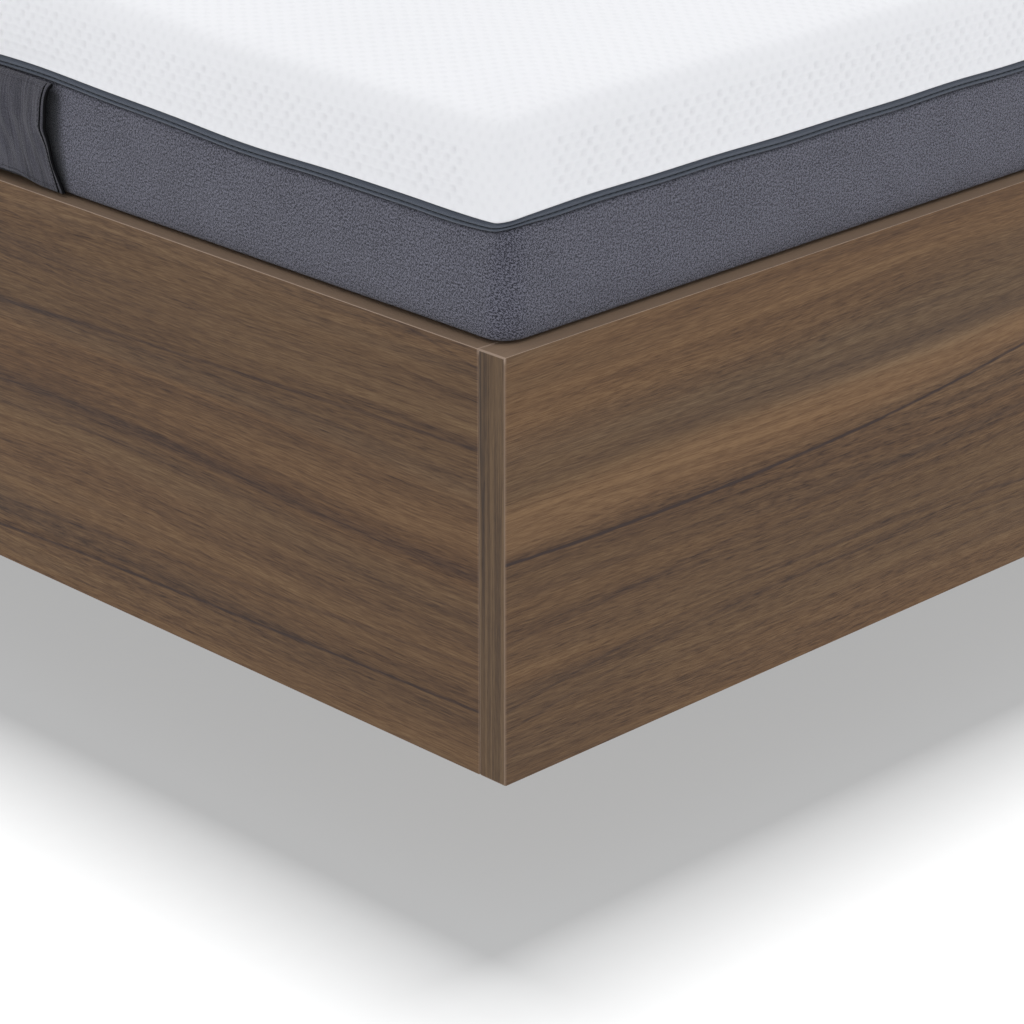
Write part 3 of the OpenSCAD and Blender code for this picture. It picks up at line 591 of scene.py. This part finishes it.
def lay_uv(obj, u, v, wrap=None, level=None):
    """Gives every point its cloth coordinates, and keeps the pattern whole where u starts again.

    Faces whose points are all marked level take their plan coordinates instead.
    """
    mesh = obj.data
    layer = mesh.uv_layers.get("UVMap") or mesh.uv_layers.new(name="UVMap")
    corner = np.zeros(len(mesh.loops), np.int32)
    mesh.loops.foreach_get("vertex_index", corner)
    cu, cv = u[corner].copy(), v[corner]
    if wrap:
        start = np.zeros(len(mesh.polygons), np.int32)
        total = np.zeros(len(mesh.polygons), np.int32)
        mesh.polygons.foreach_get("loop_start", start)
        mesh.polygons.foreach_get("loop_total", total)
        face = np.repeat(np.arange(len(start)), total)
        most = np.full(len(start), -1e9)
        np.maximum.at(most, face, cu)
        cu = np.where(most[face] - cu > wrap / 2, cu + wrap, cu)
        if level is not None:
            whole = np.ones(len(start), bool)
            np.logical_and.at(whole, face, level[corner])
            plain = points_of(mesh)[corner]
            cu, cv = np.where(whole[face], plain[:, 0], cu), np.where(whole[face], plain[:, 1], cv)
    layer.data.foreach_set("uv", np.column_stack([cu, cv]).astype(np.float32).ravel())


def tube(path, radius, sides=8, flat=1.0):
    """Points and faces of a round cord along a path, closed at both ends."""
    path = np.asarray(path, float)
    way = np.gradient(path, axis=0)
    way /= np.linalg.norm(way, axis=1)[:, None]
    side = np.cross(way[0], (0.31, 0.52, 0.79))
    rings = []
    for here, ahead in zip(path, way):
        side = side - ahead * side.dot(ahead)
        side /= np.linalg.norm(side)
        other = np.cross(ahead, side)
        for k in range(sides):
            turn = 2 * math.pi * k / sides
            rings.append(here + radius * (math.cos(turn) * side + flat * math.sin(turn) * other))
    faces = []
    for r in range(len(path) - 1):
        low = list(range(r * sides, (r + 1) * sides))
        faces += band_faces(low, [i + sides for i in low])
    faces += [tuple(range(sides))[::-1], tuple(range((len(path) - 1) * sides, len(path) * sides))]
    return np.array(rings), faces


def join(parts):
    """One list of points and faces out of several."""
    points, faces, first = [], [], 0
    for some_points, some_faces in parts:
        points.append(np.asarray(some_points, float))
        faces += [tuple(i + first for i in f) for f in some_faces]
        first += len(some_points)
    return np.concatenate(points), faces


def soften(name, width, segments=2, angle=35.0):
    """Rounds a CAD board's arrises by modifiers, and leaves its mesh alone."""
    obj = nodes[name]
    weld = obj.modifiers.new("weld", "WELD")
    weld.merge_threshold = 0.00001
    bevel = obj.modifiers.new("arris", "BEVEL")
    bevel.width = width
    bevel.segments = segments
    bevel.limit_method = "ANGLE"
    bevel.angle_limit = math.radians(angle)
    bevel.use_clamp_overlap = False
    bevel.miter_outer = "MITER_ARC"


def dress(material, *names):
    for name in names:
        mesh = nodes[name].data
        mesh.materials.clear()
        mesh.materials.append(material)


# ---------------------------------------------------------------- sizes from the frame

foot_lo, foot_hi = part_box("foot_board")
cover_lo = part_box("mattress_lower_cover")[0]
zip_lo, zip_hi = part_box("mattress_zip")
top_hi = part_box("mattress_top_cover")[1]
handle_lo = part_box("mattress_handles")[0]
rail_top = foot_hi.z
panel_h = foot_hi.z - foot_lo.z
corner = Vector((foot_lo.x, foot_lo.y, foot_hi.z))

DIMPLE_ALONG = 0.011
DIMPLE_ROW = 0.0068
LOWER_PUSH = 0.0065
END_PUSH = 0.0022
ROUND_DEPTH = 0.006
COVER_OUT = 0.003
COIL_SHARE = 0.44
CORNER_R = 0.014
HANDLE_W = 0.110
half_x, half_y = top_hi.x, top_hi.y
lower_half = (0.800, 1.000)
zip_bottom, zip_top = zip_lo.z - 0.0001, zip_hi.z - 0.0013
handle_y = abs(handle_lo.y) - HANDLE_W / 2


def lift(x, y):
    """How far the zip and top cover ride up where the handles pull them, and sag along the long sides."""
    from_side, from_end = half_x - np.abs(x), half_y - np.abs(y)
    beside = np.clip(0.5 + (from_end - from_side) / 0.044, 0.0, 1.0)
    shallow = fade(0.130 - from_side, 0.110)
    pull = np.exp(-((np.abs(y) - handle_y) / 0.165) ** 2)
    dip = np.exp(-((from_end - 0.055) / 0.035) ** 2)
    return (0.0086 * pull - 0.0058 - 0.0014 * dip) * ease(beside) * ease(shallow)


def waver(x, y):
    """The zip's slight waviness, still near the slider at the head."""
    calm = 1.0 - np.exp(-((x / 0.12) ** 2)) * (y > 0)
    return calm * (0.0005 * np.sin(19.0 * x + 23.0 * y) + 0.0004 * np.sin(51.0 * x - 43.0 * y + 1.3))


def unevenness(points, scale, amount, seed):
    places = [Vector((x * scale + seed, y * scale, z * scale * 2.0)) for x, y, z in points]
    return np.array([noise.noise(place) for place in places]) * amount


# ---------------------------------------------------------------- the mattress

plan = Plan(half_x, half_y, CORNER_R, 0.024, 3)
ring_n = len(plan.loop)
long_side, end_side = plan.loop_way[:, 0] ** 2, plan.loop_way[:, 1] ** 2
swell = (half_x - lower_half[0]) * long_side + (half_y - lower_half[1]) * end_side
push = (LOWER_PUSH * long_side + END_PUSH * (1 - long_side)) / MM


def pinch(ring):
    """How much the zip's lower edge rides up where the tapes turn a corner."""
    from_side, from_end = half_x - np.abs(ring[:, 0]), half_y - np.abs(ring[:, 1])
    return 0.0022 * np.exp(-(from_side ** 2 + from_end ** 2) / 0.026 ** 2)


def at_zip(offset, z, share=1.0, tuck=0.0):
    """A ring that follows the zip's ups and downs by a share, and its narrowing at the corners by another."""
    ring = plan.ring(np.maximum(offset, -ROUND_DEPTH / MM) * MM, z)
    deeper = np.maximum(-ROUND_DEPTH - np.multiply(offset, MM), 0.0)
    ring[:, 0] *= 1 - deeper / half_x
    ring[:, 1] *= 1 - deeper / half_y
    ring[:, 2] += share * (lift(ring[:, 0], ring[:, 1]) + waver(ring[:, 0], ring[:, 1])) + tuck * pinch(ring)
    return ring


def inner_field(inset_x, inset_y, z):
    """The plan's grid drawn in from the outline without crowding its corners."""
    flat = plan.field(-ROUND_DEPTH, z)
    flat[:, 0] *= (half_x - inset_x) / (half_x - ROUND_DEPTH)
    flat[:, 1] *= (half_y - inset_y) / (half_y - ROUND_DEPTH)
    return flat


def build_lower_cover(material):
    """Charcoal cover: let in between the boards, swelling over their edges, and ending under the zip."""
    base = cover_lo.z
    inset = -swell / MM
    contour = [(inset - 9.0, base + 0.0003), (inset - 2.0, base + 0.003), (inset, base + 0.011)]
    contour += [(inset, z) for z in np.linspace(base + 0.028, rail_top - 0.006, 4)]
    contour += [(inset + 0.5, rail_top + 0.0010), (-2.4, rail_top + 0.0016), (1.0 + push, rail_top + 0.0021)]
    rows = [at_zip(out, z, 0.0) for out, z in contour]
    face_bottom, face_top = rail_top + 0.0046, zip_bottom - 0.0045
    steps = 6
    for i in range(steps + 1):
        t = i / steps
        out = 2.2 + 1.2 * math.sin(math.pi * t) ** 0.8 + push * (1 - t)
        rows.append(at_zip(out, face_bottom + (face_top - face_bottom) * t, t * t, t * t))
    rows.append(at_zip(1.2, zip_bottom - 0.0012, 1.0, 1.0))
    rows.append(at_zip(-2.5, zip_bottom - 0.0004, 1.0, 1.0))
    rows.append(at_zip(-11.0, zip_bottom - 0.0002))
    bottom = inner_field(half_x - lower_half[0] + 0.014, half_y - lower_half[1] + 0.014, base)
    edge = np.array(plan.loop_of_field(0))
    top = inner_field(0.020, 0.020, zip_bottom - 0.0002)
    top[:, 2] += lift(top[:, 0], top[:, 1])
    faces = plan.cell_faces(0, False)
    first = len(bottom)
    last = list(edge)
    for r in range(len(rows)):
        now = list(range(first + r * ring_n, first + (r + 1) * ring_n))
        faces += band_faces(last, now)
        last = now
    top_first = first + len(rows) * ring_n
    faces += band_faces(last, plan.loop_of_field(top_first)) + plan.cell_faces(top_first, True)
    points = np.concatenate([bottom, *rows, top])
    obj = make("mattress_cover_lower", points, faces, material)
    level = points[:, 2] - lift(points[:, 0], points[:, 1])
    free = (level > rail_top + 0.008) & (level < zip_bottom - 0.006)
    reach = 0.0022 * np.sin(fade(level - rail_top - 0.004, zip_bottom - rail_top - 0.008) * math.pi)
    settle(obj, np.where(free, 0.0, 1.0), np.where(free, reach, 0.0))
    refine(obj, 2)
    now = points_of(obj.data)
    showing = fade(now[:, 2] - rail_top - 0.004, 0.012) * fade(zip_bottom - 0.004 - now[:, 2], 0.010)
    now += normals_of(obj.data) * (unevenness(now, 9.0, 0.0011, 3.0) * showing)[:, None]
    move_points(obj, now)
    flat = np.abs(normals_of(obj.data)[:, 2]) > 0.8
    lay_uv(obj, plan.around(now[:, 0], now[:, 1]), now[:, 2], plan.length(), flat)
    return obj


def rim(mesh):
    """The mesh's open edges, as pairs of points."""
    used = np.zeros(len(mesh.loops), np.int32)
    mesh.loops.foreach_get("edge_index", used)
    ends = np.zeros(len(mesh.edges) * 2, np.int32)
    mesh.edges.foreach_get("vertices", ends)
    return ends.reshape(-1, 2)[np.bincount(used, minlength=len(mesh.edges)) == 1]


def nearest(spots, points):
    """Which of the spots lies nearest to each point."""
    tree = KDTree(len(spots))
    for index, spot in enumerate(spots):
        tree.insert(spot, index)
    tree.balance()
    return np.array([tree.find(point)[1] for point in points])


def sew(obj, split, seam_z):
    """Draws the border's edge onto the roll's, and shades both as one. The border's points come first."""
    points, normals = points_of(obj.data), normals_of(obj.data)
    edges = rim(obj.data)
    edges = edges[points[edges[:, 0], 2] > seam_z - 0.020]
    border, roll_edges = np.unique(edges[edges[:, 0] < split]), edges[edges[:, 0] >= split]
    roll = np.unique(roll_edges)
    spots = np.concatenate([points[roll], points[roll_edges].mean(1)])
    shades = np.concatenate([normals[roll], normals[roll_edges].mean(1)])
    match = nearest(spots, points[border])
    points[border] = spots[match]
    total = normals[border] + shades[match]
    blended = np.zeros_like(normals)
    blended[border] = total / np.linalg.norm(total, axis=1)[:, None]
    blended[roll] = blended[border[nearest(points[border], points[roll])]]
    move_points(obj, points)
    obj.data.normals_split_custom_set_from_vertices([tuple(n) for n in blended])
    return points


def build_top_cover(material):
    """White cover: dimpled border from the zip to a seam, then a rolled edge and a slightly crowned top."""
    z0 = zip_top
    seam_z = z0 + 0.0545
    border = [(-8.0, 0.0007), (0.2, 0.0003), (1.6, 0.0011), (2.4, 0.0045), (2.9, 0.012), (3.2, 0.021),
              (3.2, 0.030), (3.0, 0.039), (2.5, 0.047), (1.9, 0.0512), (1.3, 0.0545)]
    roll = [(0.6, 0.0030), (-0.2, 0.0066), (-1.7, 0.0100), (-4.0, 0.0130), (-7.6, 0.0153), (-12.4, 0.0168)]
    rows = [at_zip(out, z0 + rise) for out, rise in border]
    rows += [at_zip(out, seam_z + rise) for out, rise in roll]
    top = inner_field(0.018, 0.018, seam_z + 0.0175)
    inward = np.minimum(half_x - np.abs(top[:, 0]), half_y - np.abs(top[:, 1]))
    top[:, 2] += lift(top[:, 0], top[:, 1]) + 0.0034 * (1 - np.exp(-np.maximum(inward - 0.018, 0) / 0.10))
    faces, marks = [], []
    for r in range(len(rows) - 1):
        low, high = (range(s * ring_n, (s + 1) * ring_n) for s in (r, r + 1))
        ring_faces = band_faces(low, high)
        faces += ring_faces
        marks += [r < len(border) - 1] * len(ring_faces)
    first = len(rows) * ring_n
    lid = band_faces(range(first - ring_n, first), plan.loop_of_field(first)) + plan.cell_faces(first, True)
    faces += lid
    marks += [False] * len(lid)
    points = np.concatenate([*rows, top])
    whole = make("mattress_cover_top", points, faces, material)
    seam_row = len(border) - 1
    row = np.concatenate([np.repeat(np.arange(len(rows)), ring_n), np.full(len(top), len(rows))])
    held = np.isin(row, (0, 1, 2))
    reach = np.full(len(row), 0.0022)
    reach = np.where(row == seam_row, 0.0018, reach)
    slack = np.concatenate([np.zeros(len(rows) * ring_n), fade(inward - 0.020, 0.030)])
    reach = np.where(row == len(rows), 0.0022 + 0.0008 * slack, reach)
    settle(whole, held.astype(float), np.where(held, 0.0, reach))
    settled = points_of(whole.data)
    bpy.data.objects.remove(whole)
    marks = np.array(marks)
    parts = []
    for on_border, levels in ((True, 3), (False, 2)):
        chosen = [f for f, mark in zip(faces, marks) if mark == on_border]
        used = sorted({i for f in chosen for i in f})
        index = {old: new for new, old in enumerate(used)}
        part = make("part", settled[used], [tuple(index[i] for i in f) for f in chosen])
        refine(part, levels)
        now = points_of(part.data)
        if on_border:
            u = plan.around(now[:, 0], now[:, 1])
            v = now[:, 2] - lift(now[:, 0], now[:, 1])
            dimple = np.cos(2 * math.pi * u / DIMPLE_ALONG) * np.cos(math.pi * v / DIMPLE_ROW)
            away = fade(v - z0 - 0.002, 0.006) * fade(seam_z - 0.002 - v, 0.008)
            to_side, to_end = np.abs(now[:, 0]) - half_x + 0.05, np.abs(now[:, 1]) - half_y + 0.05
            bend = fade(np.maximum(to_side, 0) * np.maximum(to_end, 0), 0.0012)
            depth = 0.0019 * np.maximum(dimple, 0) ** 1.3 * away * (1 - 0.75 * bend)
            out = unevenness(now, 12.0, 0.0007, 8.0) * fade(seam_z - v, 0.012) - depth
        else:
            out = unevenness(now, 6.0, 0.0012, 5.0)
            out *= fade(now[:, 2] - lift(now[:, 0], now[:, 1]) - seam_z - 0.002, 0.006)
        now += normals_of(part.data) * out[:, None]
        polygons = [tuple(p.vertices) for p in part.data.polygons]
        parts.append((now, polygons))
        bpy.data.objects.remove(part)
    points, faces = join(parts)
    obj = make("mattress_cover_top", points, faces, material)
    points = sew(obj, len(parts[0][0]), seam_z)
    v = points[:, 2] - lift(points[:, 0], points[:, 1])
    on_top = v > seam_z + 0.0115
    on_top[: len(parts[0][0])] = False
    lay_uv(obj, plan.around(points[:, 0], points[:, 1]), v, plan.length(), on_top)
    return obj


def build_strip(name, cells, section, material, swing=0.0):
    """A closed strip round the mattress that follows the zip.

    cells are the plan's cell and its corner's cells. section has each point's offset, height and share of
    the narrowing at the corners. swing moves every other point up and the rest down.
    """
    fine = Plan(half_x, half_y, CORNER_R, *cells)
    n = len(fine.loop)
    zigzag = swing * (-1.0) ** np.arange(n)
    rings, faces = [], []
    for row, (offset, z, tuck) in enumerate(section):
        ring = fine.ring(offset * MM, z + zigzag)
        ring[:, 2] += lift(ring[:, 0], ring[:, 1]) + waver(ring[:, 0], ring[:, 1]) + tuck * pinch(ring)
        rings.append(ring)
        above = (row + 1) % len(section)
        faces += band_faces(range(row * n, (row + 1) * n), range(above * n, (above + 1) * n))
    points = np.concatenate(rings)
    obj = make(name, points, faces, material)
    lay_uv(obj, fine.around(points[:, 0], points[:, 1]), points[:, 2], fine.length())
    return obj


def build_zip(material):
    """Two woven tapes with a groove between them where the coil closes, and a groove above and below."""
    z0, z1 = zip_bottom, zip_top
    mid = z0 + COIL_SHARE * (z1 - z0)
    groove = [(2.6, -0.0011), (2.1, -0.0007), (0.9, -0.0004), (0.9, 0.0004), (2.1, 0.0007), (2.6, 0.0011)]
    contour = [(-6.0, z0 - 0.0002), (0.2, z0), (0.3, z0 + 0.0003), (2.0, z0 + 0.0005), (2.6, z0 + 0.0009)]
    contour += [(out, mid + rise) for out, rise in groove]
    contour += [(2.6, z1 - 0.0022), (2.0, z1 - 0.0017), (0.3, z1 - 0.0014), (0.2, z1 - 0.0002)]
    contour += [(-6.0, z1 + 0.0002)]
    section = [(out, z, (z1 - z) / (z1 - z0)) for out, z in contour]
    return build_strip("mattress_zip_tapes", (0.008, 6), section, material)


def build_coil(material):
    """The zip's closed coil: two rows of small teeth lying in the groove between the tapes."""
    mid = zip_bottom + COIL_SHARE * (zip_top - zip_bottom)
    teeth = ((0.75, -0.0006), (1.35, -0.0003), (1.5, 0.0), (1.35, 0.0003), (0.75, 0.0006))
    section = [(out, mid + rise, 0.56) for out, rise in teeth]
    return build_strip("mattress_zip_coil", (0.0032, 12), section, material, swing=0.00035)


def build_handle(name, side, y_mid, to_corner, cloth, hem_material, stitch_material):
    """A slack strap sewn under the zip and at the rail.

    side is the sign of X, and to_corner the sign of the nearer end.
    """
    across, down, thick = 44, 40, 0.0021
    z_high, z_low = zip_bottom - 0.0006, rail_top + 0.0030

    def middle(a, b):
        """Middle of the cloth: a runs across, to 1 at the edge nearer the corner, and b down from 0 to 1."""
        arch = np.sin(math.pi * b)
        bulge = np.sin(math.pi * np.clip(b, 0, 1) ** 0.56) ** 1.15
        edge = 0.5 + 0.5 * a
        amount = 0.0060 + 0.0028 * np.abs(a) ** 3 + 0.0012 * np.sin(5.2 * a + 1.1)
        fold = 0.0011 * np.sin(9.0 * a + 5.0 * b) * arch + 0.0007 * np.sin(23.0 * a - 7.0 * b + 2.0) * arch
        kink = 0.0014 * np.exp(-((b - 0.30 - 0.05 * a) / 0.07) ** 2)
        kink = kink - 0.0009 * np.exp(-((b - 0.62 + 0.08 * a) / 0.10) ** 2)
        loose = fade(0.72 - np.abs(a), 0.5) ** 2 * b ** 4
        out = 0.0050 + LOWER_PUSH * b + amount * bulge + fold + kink * (0.4 + 0.6 * np.abs(a))
        out = out + 0.0035 * loose
        drift = 0.0045 * a * b ** 3 + 0.0040 + 0.0125 * b - 0.0022 * edge * arch
        y = y_mid + to_corner * (HANDLE_W / 2 * a + drift)
        z = z_high + (z_low - z_high) * (b + 0.05 * arch * bulge) + 0.0055 * loose
        x = half_x + out
        z = z + lift(side * x, y) * (1 - b)
        return np.stack([side * x, y, z], -1)

    a, b = np.meshgrid(np.linspace(-1, 1, across + 1), np.linspace(0, 1, down + 1), indexing="ij")
    centre = middle(a, b)
    step_a, step_b = np.gradient(centre, axis=0), np.gradient(centre, axis=1)
    out = np.cross(step_a, step_b)
    out /= np.linalg.norm(out, axis=-1)[..., None]
    out *= np.sign(out[..., 0] * side)[..., None]
    rib = 1 + 0.10 * np.sin(a * 90.0)
    front = centre + out * thick / 2 * rib[..., None]
    back = centre - out * thick / 2
    rows = down + 1
    faces, count = [], (across + 1) * rows
    for i in range(across):
        for j in range(down):
            q = (i * rows + j, (i + 1) * rows + j, (i + 1) * rows + j + 1, i * rows + j + 1)
            faces += [q, tuple(count + k for k in q[::-1])]
    rim = [i * rows for i in range(across)] + [across * rows + j for j in range(down)]
    rim += [i * rows + down for i in range(across, 0, -1)] + [j for j in range(down, 0, -1)]
    for k, here in enumerate(rim):
        following = rim[(k + 1) % len(rim)]
        faces.append((following, here, count + here, count + following))
    points = np.concatenate([front.reshape(-1, 3), back.reshape(-1, 3)])
    strap = make(name, points, faces, cloth)
    along = np.cumsum(np.linalg.norm(np.diff(centre, axis=1, prepend=centre[:, :1]), axis=-1), axis=1)
    flat_u = np.concatenate([(a * HANDLE_W / 2).ravel()] * 2)
    flat_v = np.concatenate([along.ravel()] * 2)
    lay_uv(strap, flat_u, flat_v)

    cords = []
    b_line = np.linspace(0.0, 1.0, 41)
    for edge in (-1.0, 1.0):
        for inset, proud in ((0.0, 0.0002), (0.082, 0.0011)):
            line = middle(np.full(41, edge * (1 - inset)), b_line)
            line[:, 0] += side * proud
            cords.append(tube(line, 0.00115 if inset == 0.0 else 0.0007, 8))
    hem_points, hem_faces = join(cords)
    hem = make(name + "_hem", hem_points, hem_faces, hem_material)
    lay_uv(hem, hem_points[:, 1] - y_mid, hem_points[:, 2])

    stitches = []

    def sew_stitch(a_line, b_line, rise, radius):
        line = middle(a_line, b_line)
        line[:, 0] += side * (thick / 2 + np.array([-0.0002, rise, rise + 0.0001, rise, -0.0002]))
        stitches.append(tube(line, radius, 6))

    for b_at in (0.035, 0.955):
        for a_at in np.linspace(-0.9, 0.9, 27):
            sew_stitch(np.linspace(a_at - 0.022, a_at + 0.022, 5), np.full(5, b_at), 0.0002, 0.0003)
    for edge in (-0.87, 0.87):
        for b_at in np.linspace(0.07, 0.93, 20):
            sew_stitch(np.full(5, edge), np.linspace(b_at - 0.015, b_at + 0.015, 5), 0.0001, 0.00028)
    stitch_points, stitch_faces = join(stitches)
    stitch = make(name + "_stitches", stitch_points, stitch_faces, stitch_material)
    lay_uv(stitch, stitch_points[:, 1], stitch_points[:, 2])

    for piece in (strap, hem, stitch):
        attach(piece, "mattress")
        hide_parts("mattress_handles")


# the last argument paints shade on this cover behind and beside the straps
grey = melange("grey_knit", (0.027, 0.028, 0.040), (0.178, 0.180, 0.230), 0.06, 2.36, True)
strap_cloth = melange("strap_jersey", (0.018, 0.018, 0.025), (0.098, 0.097, 0.124), 0.62, 0.62)
hem_look = thread("hem_piping", (0.004, 0.004, 0.005))
stitch_look = thread("strap_thread", (0.055, 0.054, 0.062))
coil_look = thread("zip_coil_nylon", (0.030, 0.036, 0.042))
white = white_knit()
tape = zip_tape()

lower_cover = build_lower_cover(grey)
top_cover = build_top_cover(white)
tapes = build_zip(tape)
coil = build_coil(coil_look)
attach(lower_cover, "mattress")
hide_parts("mattress_lower_cover", "mattress_foam_core")
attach(top_cover, "mattress")
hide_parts("mattress_top_cover", "mattress_foam_layer")
for piece in (tapes, coil):
    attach(piece, "mattress")
    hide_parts("mattress_zip")
for x_name, x_sign in (("left", -1.0), ("right", 1.0)):
    for y_name, y_sign in (("foot", -1.0), ("head", 1.0)):
        build_handle(f"handle_{x_name}_{y_name}", x_sign, y_sign * handle_y, y_sign,
                     strap_cloth, hem_look, stitch_look)


# ---------------------------------------------------------------- looks for the CAD pieces

SIDE_T = 0.015
SLAT_W = 0.070
SLAT_GAPS = 16


def z_at(share):
    """Height of a place on the boards, given as a share of their height."""
    return foot_lo.z + share * panel_h


# each mark: height at the corner, rise and bend along the board, width, depth, and its fade upward in widths
left_marks = ((z_at(0.154), -0.022, -0.026, 0.0018, 0.34, 5.0), (z_at(0.262), -0.055, 0.0, 0.0030, 0.15, 4.0),
              (z_at(0.475), 0.012, 0.0, 0.0090, 0.16, 2.0), (z_at(0.775), -0.045, 0.0, 0.0024, 0.22, 4.0),
              (z_at(0.94), 0.20, -0.22, 0.0018, 0.14, 6.0))
foot_marks = ((z_at(0.526), -0.055, 0.155, 0.0019, 0.48, 3.0), (z_at(0.335), 0.060, -0.02, 0.0024, 0.12, 6.0),
              (z_at(0.69), 0.02, -0.03, 0.0110, 0.10, 1.5), (z_at(0.18), 0.14, -0.21, 0.0020, 0.14, 6.0),
              (z_at(0.13), 0.16, -0.24, 0.0018, 0.12, 5.0))
dress(walnut("walnut_left_rail", 1, 11.3, (foot_lo.y, 0.60, left_marks)), "side_rail_left")
dress(walnut("walnut_right_rail", 1, 23.9), "side_rail_right")
foot_glow = (z_at(0.600), 0.012, 0.027)
dress(walnut("walnut_foot", 0, 37.1, (foot_lo.x, 0.60, foot_marks), foot_glow), "foot_board")
dress(walnut("walnut_head", 0, 52.7), "head_board")
for board in ("side_rail_left", "side_rail_right", "foot_board", "head_board"):
    soften(board, 0.0011)

for index, (x_name, y_name) in enumerate((x, y) for x in ("left", "right") for y in ("foot", "head")):
    drawer = f"{x_name}_{y_name}"
    front = "drawer_front_" + drawer
    dress(walnut("walnut_front_" + drawer, 1, 61.0 + 9.1 * index), front)
    soften(front, 0.0009)
    for part, axis in (("sides", 1), ("back", 0), ("bottom", 2)):
        node = f"drawer_{part}_{drawer}"
        lo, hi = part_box(node)
        depth = SIDE_T if part == "sides" else hi[axis] - lo[axis]
        dress(plywood(f"birch_{part}_{drawer}", axis, depth, lo[axis], 3.0 * index + axis), node)
        if part != "bottom":
            soften(node, 0.0007)
runner_steel = steel("zinc_runners", 0, 2.0)
other_steel = steel("zinc_plate", 2, 5.0)
for name in nodes:
    if name.startswith(("drawer_runners", "runner_")):
        dress(runner_steel, name)
for name in ("corner_brackets", "corner_bolts", "base_screws"):
    dress(other_steel, name)
cast = casting()
for name in ("base_cams", "base_cam_pins", "mattress_zip_slider"):
    dress(cast, name)
for name, axis, seed in (("base_panel_foot", 2, 17.0), ("base_panel_middle", 2, 18.0),
                         ("base_panel_head", 2, 19.0), ("centre_partition", 0, 27.0),
                         ("cross_partition_foot", 1, 28.0), ("cross_partition_middle", 1, 29.0),
                         ("cross_partition_head", 1, 30.0)):
    lo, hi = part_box(name)
    dress(plywood("birch_" + name, axis, hi[axis] - lo[axis], lo[axis], seed), name)
    soften(name, 0.0006)
slat_lo, slat_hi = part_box("slats_left")
slat_pitch = (slat_hi.y - slat_lo.y - SLAT_W) / SLAT_GAPS
dress(softwood("pine_slats", 0, slat_pitch, 4.0), "slats_left", "slats_right")
dress(softwood("pine_bearers", 1, 3.0, 9.0), "slat_cleats", "centre_bearer")
for name in ("slats_left", "slats_right", "slat_cleats", "centre_bearer"):
    soften(name, 0.0015, 3)
black = laminate()
for name in ("plinth_left", "plinth_right", "plinth_centre", "plinth_foot", "plinth_head"):
    dress(black, name)
    soften(name, 0.0005)
dress(plastic(), "glides")
dress(webbing(), "slat_webbing")
soften("corner_brackets", 0.0004)
soften("mattress_zip_slider", 0.0003)


# ---------------------------------------------------------------- floor, light and camera

def build_floor():
    k = Look("studio_floor", Specular_IOR_Level=0.0)
    x, y, z = k.place()
    speck = k.noise(k.vector(x, y, z), 60.0, 4.0)
    diffuse = k.node("BsdfDiffuse", {"Color": k.mix(speck, (0.117, 0.117, 0.117), (0.123, 0.123, 0.123))})
    glow = k.node("Emission", {"Color": (0.98, 0.99, 1.0), "Strength": FLOOR_GLOW})
    both = k.node("AddShader", {0: diffuse.outputs[0], 1: glow.outputs[0]})
    output = k.tree.nodes["Material Output"]
    k.tree.links.new(both.outputs[0], output.inputs["Surface"])
    n = 25
    lines = np.linspace(-60.0, 60.0, n)
    points = [(x, y, 0.0) for x in lines for y in lines]
    starts = [i * n + j for i in range(n - 1) for j in range(n - 1)]
    faces = [(at, at + n, at + n + 1, at + 1) for at in starts]
    floor = make("floor", points, faces, k.material, smooth=False)
    return floor


def lamp(name, place, size, power):
    light = bpy.data.lights.new(name, "AREA")
    light.shape = "SQUARE"
    light.size = size
    light.energy = power
    made = bpy.data.objects.new(name, light)
    made.location = place
    scene.collection.objects.link(made)
    return made


FLOOR_GLOW = 0.405
floor = build_floor()
LAMP_RISE, LEAN_X, LEAN_Y, LAMP_SIZE = 4.0, 0.194, 0.163, 1.03
lamp_place = corner + Vector((LEAN_X * LAMP_RISE, LEAN_Y * LAMP_RISE, LAMP_RISE))
lamp("key", lamp_place, LAMP_SIZE, 9.0)
floor_key = lamp("floor_key", lamp_place, LAMP_SIZE, 980.0)
only_floor = bpy.data.collections.new("only_floor")
only_floor.objects.link(floor)
floor_key.light_linking.receiver_collection = only_floor

world = bpy.data.worlds.new("studio")
scene.world = world
world.use_nodes = True
world.node_tree.nodes["Background"].inputs["Color"].default_value = (1.0, 1.0, 1.0, 1.0)
world.node_tree.nodes["Background"].inputs["Strength"].default_value = 1.0

scene.view_settings.view_transform = "Standard"

HEADING, PITCH = math.radians(45.45), math.radians(22.59)
REACH, ASIDE, ABOVE = 7.53, 0.002, 0.36984
reach = REACH * panel_h
ahead = Vector((math.cos(HEADING), math.sin(HEADING), 0.0))
right = Vector((math.sin(HEADING), -math.cos(HEADING), 0.0))
camera_data = bpy.data.cameras.new("camera")
camera_data.sensor_width = 36.0
camera_data.lens = 134.9
camera_data.clip_start = 0.05
camera_data.clip_end = 200.0
camera = bpy.data.objects.new("camera", camera_data)
camera.location = corner - ahead * reach + right * (ASIDE * reach) + Vector((0.0, 0.0, ABOVE * reach))
looking = Vector((ahead.x * math.cos(PITCH), ahead.y * math.cos(PITCH), -math.sin(PITCH)))
camera.rotation_mode = "QUATERNION"
camera.rotation_quaternion = looking.to_track_quat("-Z", "Y")
scene.collection.objects.link(camera)
scene.camera = camera
